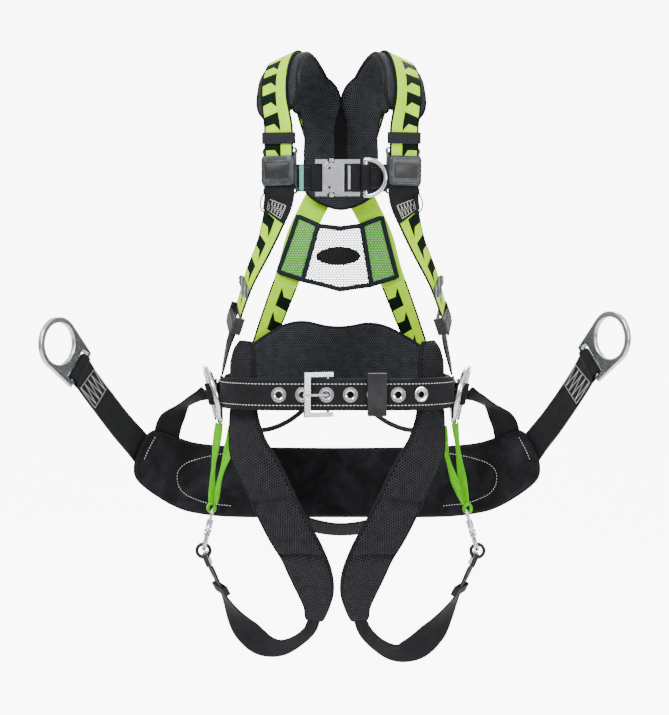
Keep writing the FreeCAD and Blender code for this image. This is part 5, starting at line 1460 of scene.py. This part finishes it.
def make_housings():
    """Moulded housings: the frame keeps the back plates, and each lid is a stepped cushion shape with a
    sunk panel and ridges above and below it."""
    for side in ("right", "left"):
        plain = SHOULDER if side == "right" else mirror(SHOULDER, SHIFT)
        p = np.array([s[:3] for s in plain], float)
        along = unit((p[6] - p[4])[None])[0]
        across = unit(np.cross(np.array(plain[5][3:6], float), along)[None])[0]
        out = np.cross(along, across)
        start = p[5] + out * 2.0
        lid = [
            (24.3, 20.8, 6, 0.0), (24.3, 20.8, 6, 4.2), (23.9, 20.4, 5.8, 5.3), (23.0, 19.5, 5.4, 6.1),
            (21.6, 18.1, 5, 6.6),
            (19.3, 12.2, 3.4, 6.9), (18.9, 11.8, 3.2, 6.3), (18.5, 11.4, 3.0, 5.7), (6, 4, 1.0, 5.9),
        ]
        stepped(
            f"{side}_housing_lid", (start, across, along, out), lid, grey_plastic,
            **({"stands_for": "housing_covers", "slot": "grey_plastic"} if side == "right" else {})
        )
        for k, z in enumerate((-17.6, -15.2, 15.2, 17.6)):
            bar = [(15.5, 0.75, 0.7, 5.8), (15.5, 0.75, 0.7, 6.9), (15.1, 0.45, 0.42, 7.3)]
            stepped(f"{side}_housing_ridge_{k}", (start + along * z, across, along, out), bar, grey_plastic)
        inset = [(17.6, 10.4, 2.6, 5.5), (17.6, 10.4, 2.6, 6.2), (17.0, 9.8, 2.3, 6.5)]
        stepped(f"{side}_housing_panel", (start, across, along, out), inset, black_plastic)
    dress("strap_housings", grey_plastic, 0.6)


def make_adjusters():
    """The torso adjusters, and the black link strap from each one down to the belt."""
    dress("torso_adjusters", black_steel, 0.7)
    for side in ("right", "left"):
        dress(f"{side}_cam_lever", black_steel, 0.7)
        sign = -1 if side == "right" else 1
        plain = SHOULDER if sign < 0 else mirror(SHOULDER, SHIFT - 3)
        p = np.array([s[:3] for s in plain[:2]], float)
        along = unit((p[1] - p[0])[None])[0]
        across = unit(np.cross(np.array(plain[0][3:6], float), along)[None])[0]
        out = np.cross(along, across)
        foot = p[0] - along * 27.5 - out * 2
        link = [
            (*foot, sign * 0.97, -0.22, 0, 0.6), (sign * 155, -34, 70, sign * 0.97, -0.2, 0, 0.6),
            (sign * 161, -24, 45, sign, -0.1, 0, 0.6), (sign * 165, -16, 29, sign, 0, 0, 0.6),
        ]
        strap(
            f"{side}_belt_link", link, black_webbing, step=3.0,
            **({"stands_for": "belt_link_straps", "slot": "black_webbing"} if sign < 0 else {})
        )


def make_hip_rings():
    """Webbing patches on the belt's sides, turned round each hip ring's bar."""
    for side, sign in (("right", -1), ("left", 1)):
        bar = np.array([sign * 181, -17.0, -4])
        aim = unit(np.array([-sign * 0.2, -0.98, -0.1]))
        y_axis = unit(np.cross(unit(np.array([sign * 0.25, 0, 1.0])), aim))
        axis = np.cross(aim, y_axis)
        turn = np.linspace(-2.3, 2.3, 17)
        away = unit(np.array([sign * 1.0, 0, 0]) - axis * axis[0] * sign)
        fore = unit(np.cross(axis, away))
        arc = bar + np.outer(np.cos(turn), away) * 6.3 + np.outer(np.sin(turn), fore) * 6.3
        if arc[0][1] > arc[-1][1]:
            arc = arc[::-1]
        flat_x = sign * 171.6
        line = np.vstack(
            [[(flat_x, -25, -4)], arc, [(flat_x, -9, -3)], [(flat_x, 4, -2)], [(flat_x, 17, -1)]]
        )
        hints = np.vstack([[(sign, 0, 0)], unit(arc - bar), [(sign, 0, 0)] * 3])
        rich = through([(*p, *h, 1.0) for p, h in zip(line, hints)], 1.6)[0]
        band(
            f"{side}_hip_ring_webbing", rich[:, :3], rich[:, 3:6], black_webbing, width=32, thick=2.3,
            **({"stands_for": "hip_ring_loops", "slot": "black_webbing"} if sign < 0 else {})
        )
        tack(f"{side}_hip_ring_tack", (sign * 173.0, 8, -1.5), (0, -sign * 1.0, 0), (0, 0, 1), 7, 12, 7)
        dress(f"{side}_hip_d_ring", bright_steel)


# ---------------------------------------------------------------- loops and cords
def make_loops():
    """The two gear loops behind the belt, and the thin elastic cord below each housing."""
    gear = [
        (-40, 108, -26), (-57, 107, -42), (-82, 104, -58), (-110, 99, -66), (-134, 87, -62),
        (-150, 68, -46), (-155, 54, -26)
    ]
    for side, sign in (("right", 1), ("left", -1)):
        line, _ = through([(x * sign, y, z, 0, 0, 1) for x, y, z in gear], 3.0)
        tube(
            f"{side}_gear_loop", line[:, :3], 3.7, cord_sleeve,
            **({"stands_for": "gear_loops", "slot": "elastic"} if sign > 0 else {})
        )
    route = [
        (-99.7, -118.4, 285), (-104.8, -119.5, 276), (-107.6, -120.5, 266), (-105, -121.5, 256.5),
        (-98, -122.2, 252.5), (-93, -122.6, 258.5), (-93.2, -122.4, 268), (-97.3, -120.6, 279),
    ]
    for side in ("right", "left"):
        points = [(x if side == "right" else 2 * SHIFT - x, y, z) for x, y, z in route]
        curve = bpy.data.curves.new(f"{side}_housing_cord", "CURVE")
        curve.dimensions, curve.use_fill_caps = "3D", True
        curve.bevel_depth, curve.bevel_resolution = 0.001, 3
        spline = curve.splines.new("NURBS")
        spline.points.add(len(points) - 1)
        for spot, (x, y, z) in zip(spline.points, points):
            spot.co = (x * MM, y * MM, z * MM, 1)
        spline.order_u, spline.use_endpoint_u, spline.resolution_u = 3, True, 12
        curve.materials.append(binding_tape)
        made = bpy.data.objects.new(f"{side}_housing_cord", curve)
        bpy.context.scene.collection.objects.link(made)
        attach(made, "harness")
        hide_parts(f"{side}_cord_loop")


# ---------------------------------------------------------------- room
def make_room():
    """A pale floor well below the hanging harness, a lit white backdrop far behind it, three large soft
    lights and the camera in front."""
    floor_finish = new_finish("pale matt floor", Base_Color=colour("#F2F2F2"), Roughness=0.9)[0]
    lit = {"Base_Color": colour("#FFFFFF"), "Emission_Color": colour("#FFFFFF"), "Emission_Strength": 7.0}
    lit_finish = new_finish("white backdrop cloth, lit from behind", **lit)[0]
    for name, corners, finish in (
        ("floor", [(-7, -7, -1.9), (7, -7, -1.9), (7, 6, -1.9), (-7, 6, -1.9)], floor_finish),
        ("backdrop", [(-2.6, 6, -1.9), (2.6, 6, -1.9), (2.6, 6, 2.4), (-2.6, 6, 2.4)], lit_finish),
    ):
        mesh = bpy.data.meshes.new(name)
        mesh.from_pydata(corners, [], [(0, 1, 2, 3)])
        mesh.materials.append(finish)
        made = bpy.data.objects.new(name, mesh)
        bpy.context.scene.collection.objects.link(made)
    world = bpy.data.worlds.new("studio")
    world.use_nodes = True
    sky = world.node_tree
    height = add(sky, "SeparateXYZ", {0: add(sky, "TexCoord").outputs["Generated"]}).outputs["Z"]
    level = add(sky, "MapRange", {0: height, 1: -0.3, 2: 0.75, 3: 0.2, 4: 1.5}).outputs[0]
    sky.links.new(level, sky.nodes["Background"].inputs["Strength"])
    sky.nodes["Background"].inputs["Color"].default_value = (1, 1, 1, 1)
    bpy.context.scene.world = world
    for name, place, size, power in (
        ("key", (-1.7, -2.4, 2.2), 1.2, 150), ("fill", (2.3, -2.2, 0.6), 1.0, 60),
        ("rim", (0.5, 2.4, 2.2), 1.6, 90),
    ):
        lamp = bpy.data.lights.new(name, "AREA")
        lamp.size, lamp.energy = size, power
        made = bpy.data.objects.new(name, lamp)
        made.location = place
        made.rotation_mode = "QUATERNION"
        made.rotation_quaternion = (Vector((0, 0, 0.05)) - Vector(place)).to_track_quat("-Z", "Y")
        bpy.context.scene.collection.objects.link(made)
    lens = bpy.data.cameras.new("camera")
    lens.lens, lens.sensor_width, lens.clip_end = 111.1, 36.0, 50.0
    camera = bpy.data.objects.new("camera", lens)
    tilt = math.radians(2.5)
    camera.location = (-0.0036, -3.2 * math.cos(tilt), 0.047 + 3.2 * math.sin(tilt))
    camera.rotation_euler = (math.pi / 2 - tilt, 0, 0)
    bpy.context.scene.collection.objects.link(camera)
    bpy.context.scene.camera = camera


make_room()
make_belt()
make_lumbar()
make_legs()
make_seat()
make_shoulders()
make_back()
make_chest()
make_housings()
make_adjusters()
make_hip_rings()
make_loops()
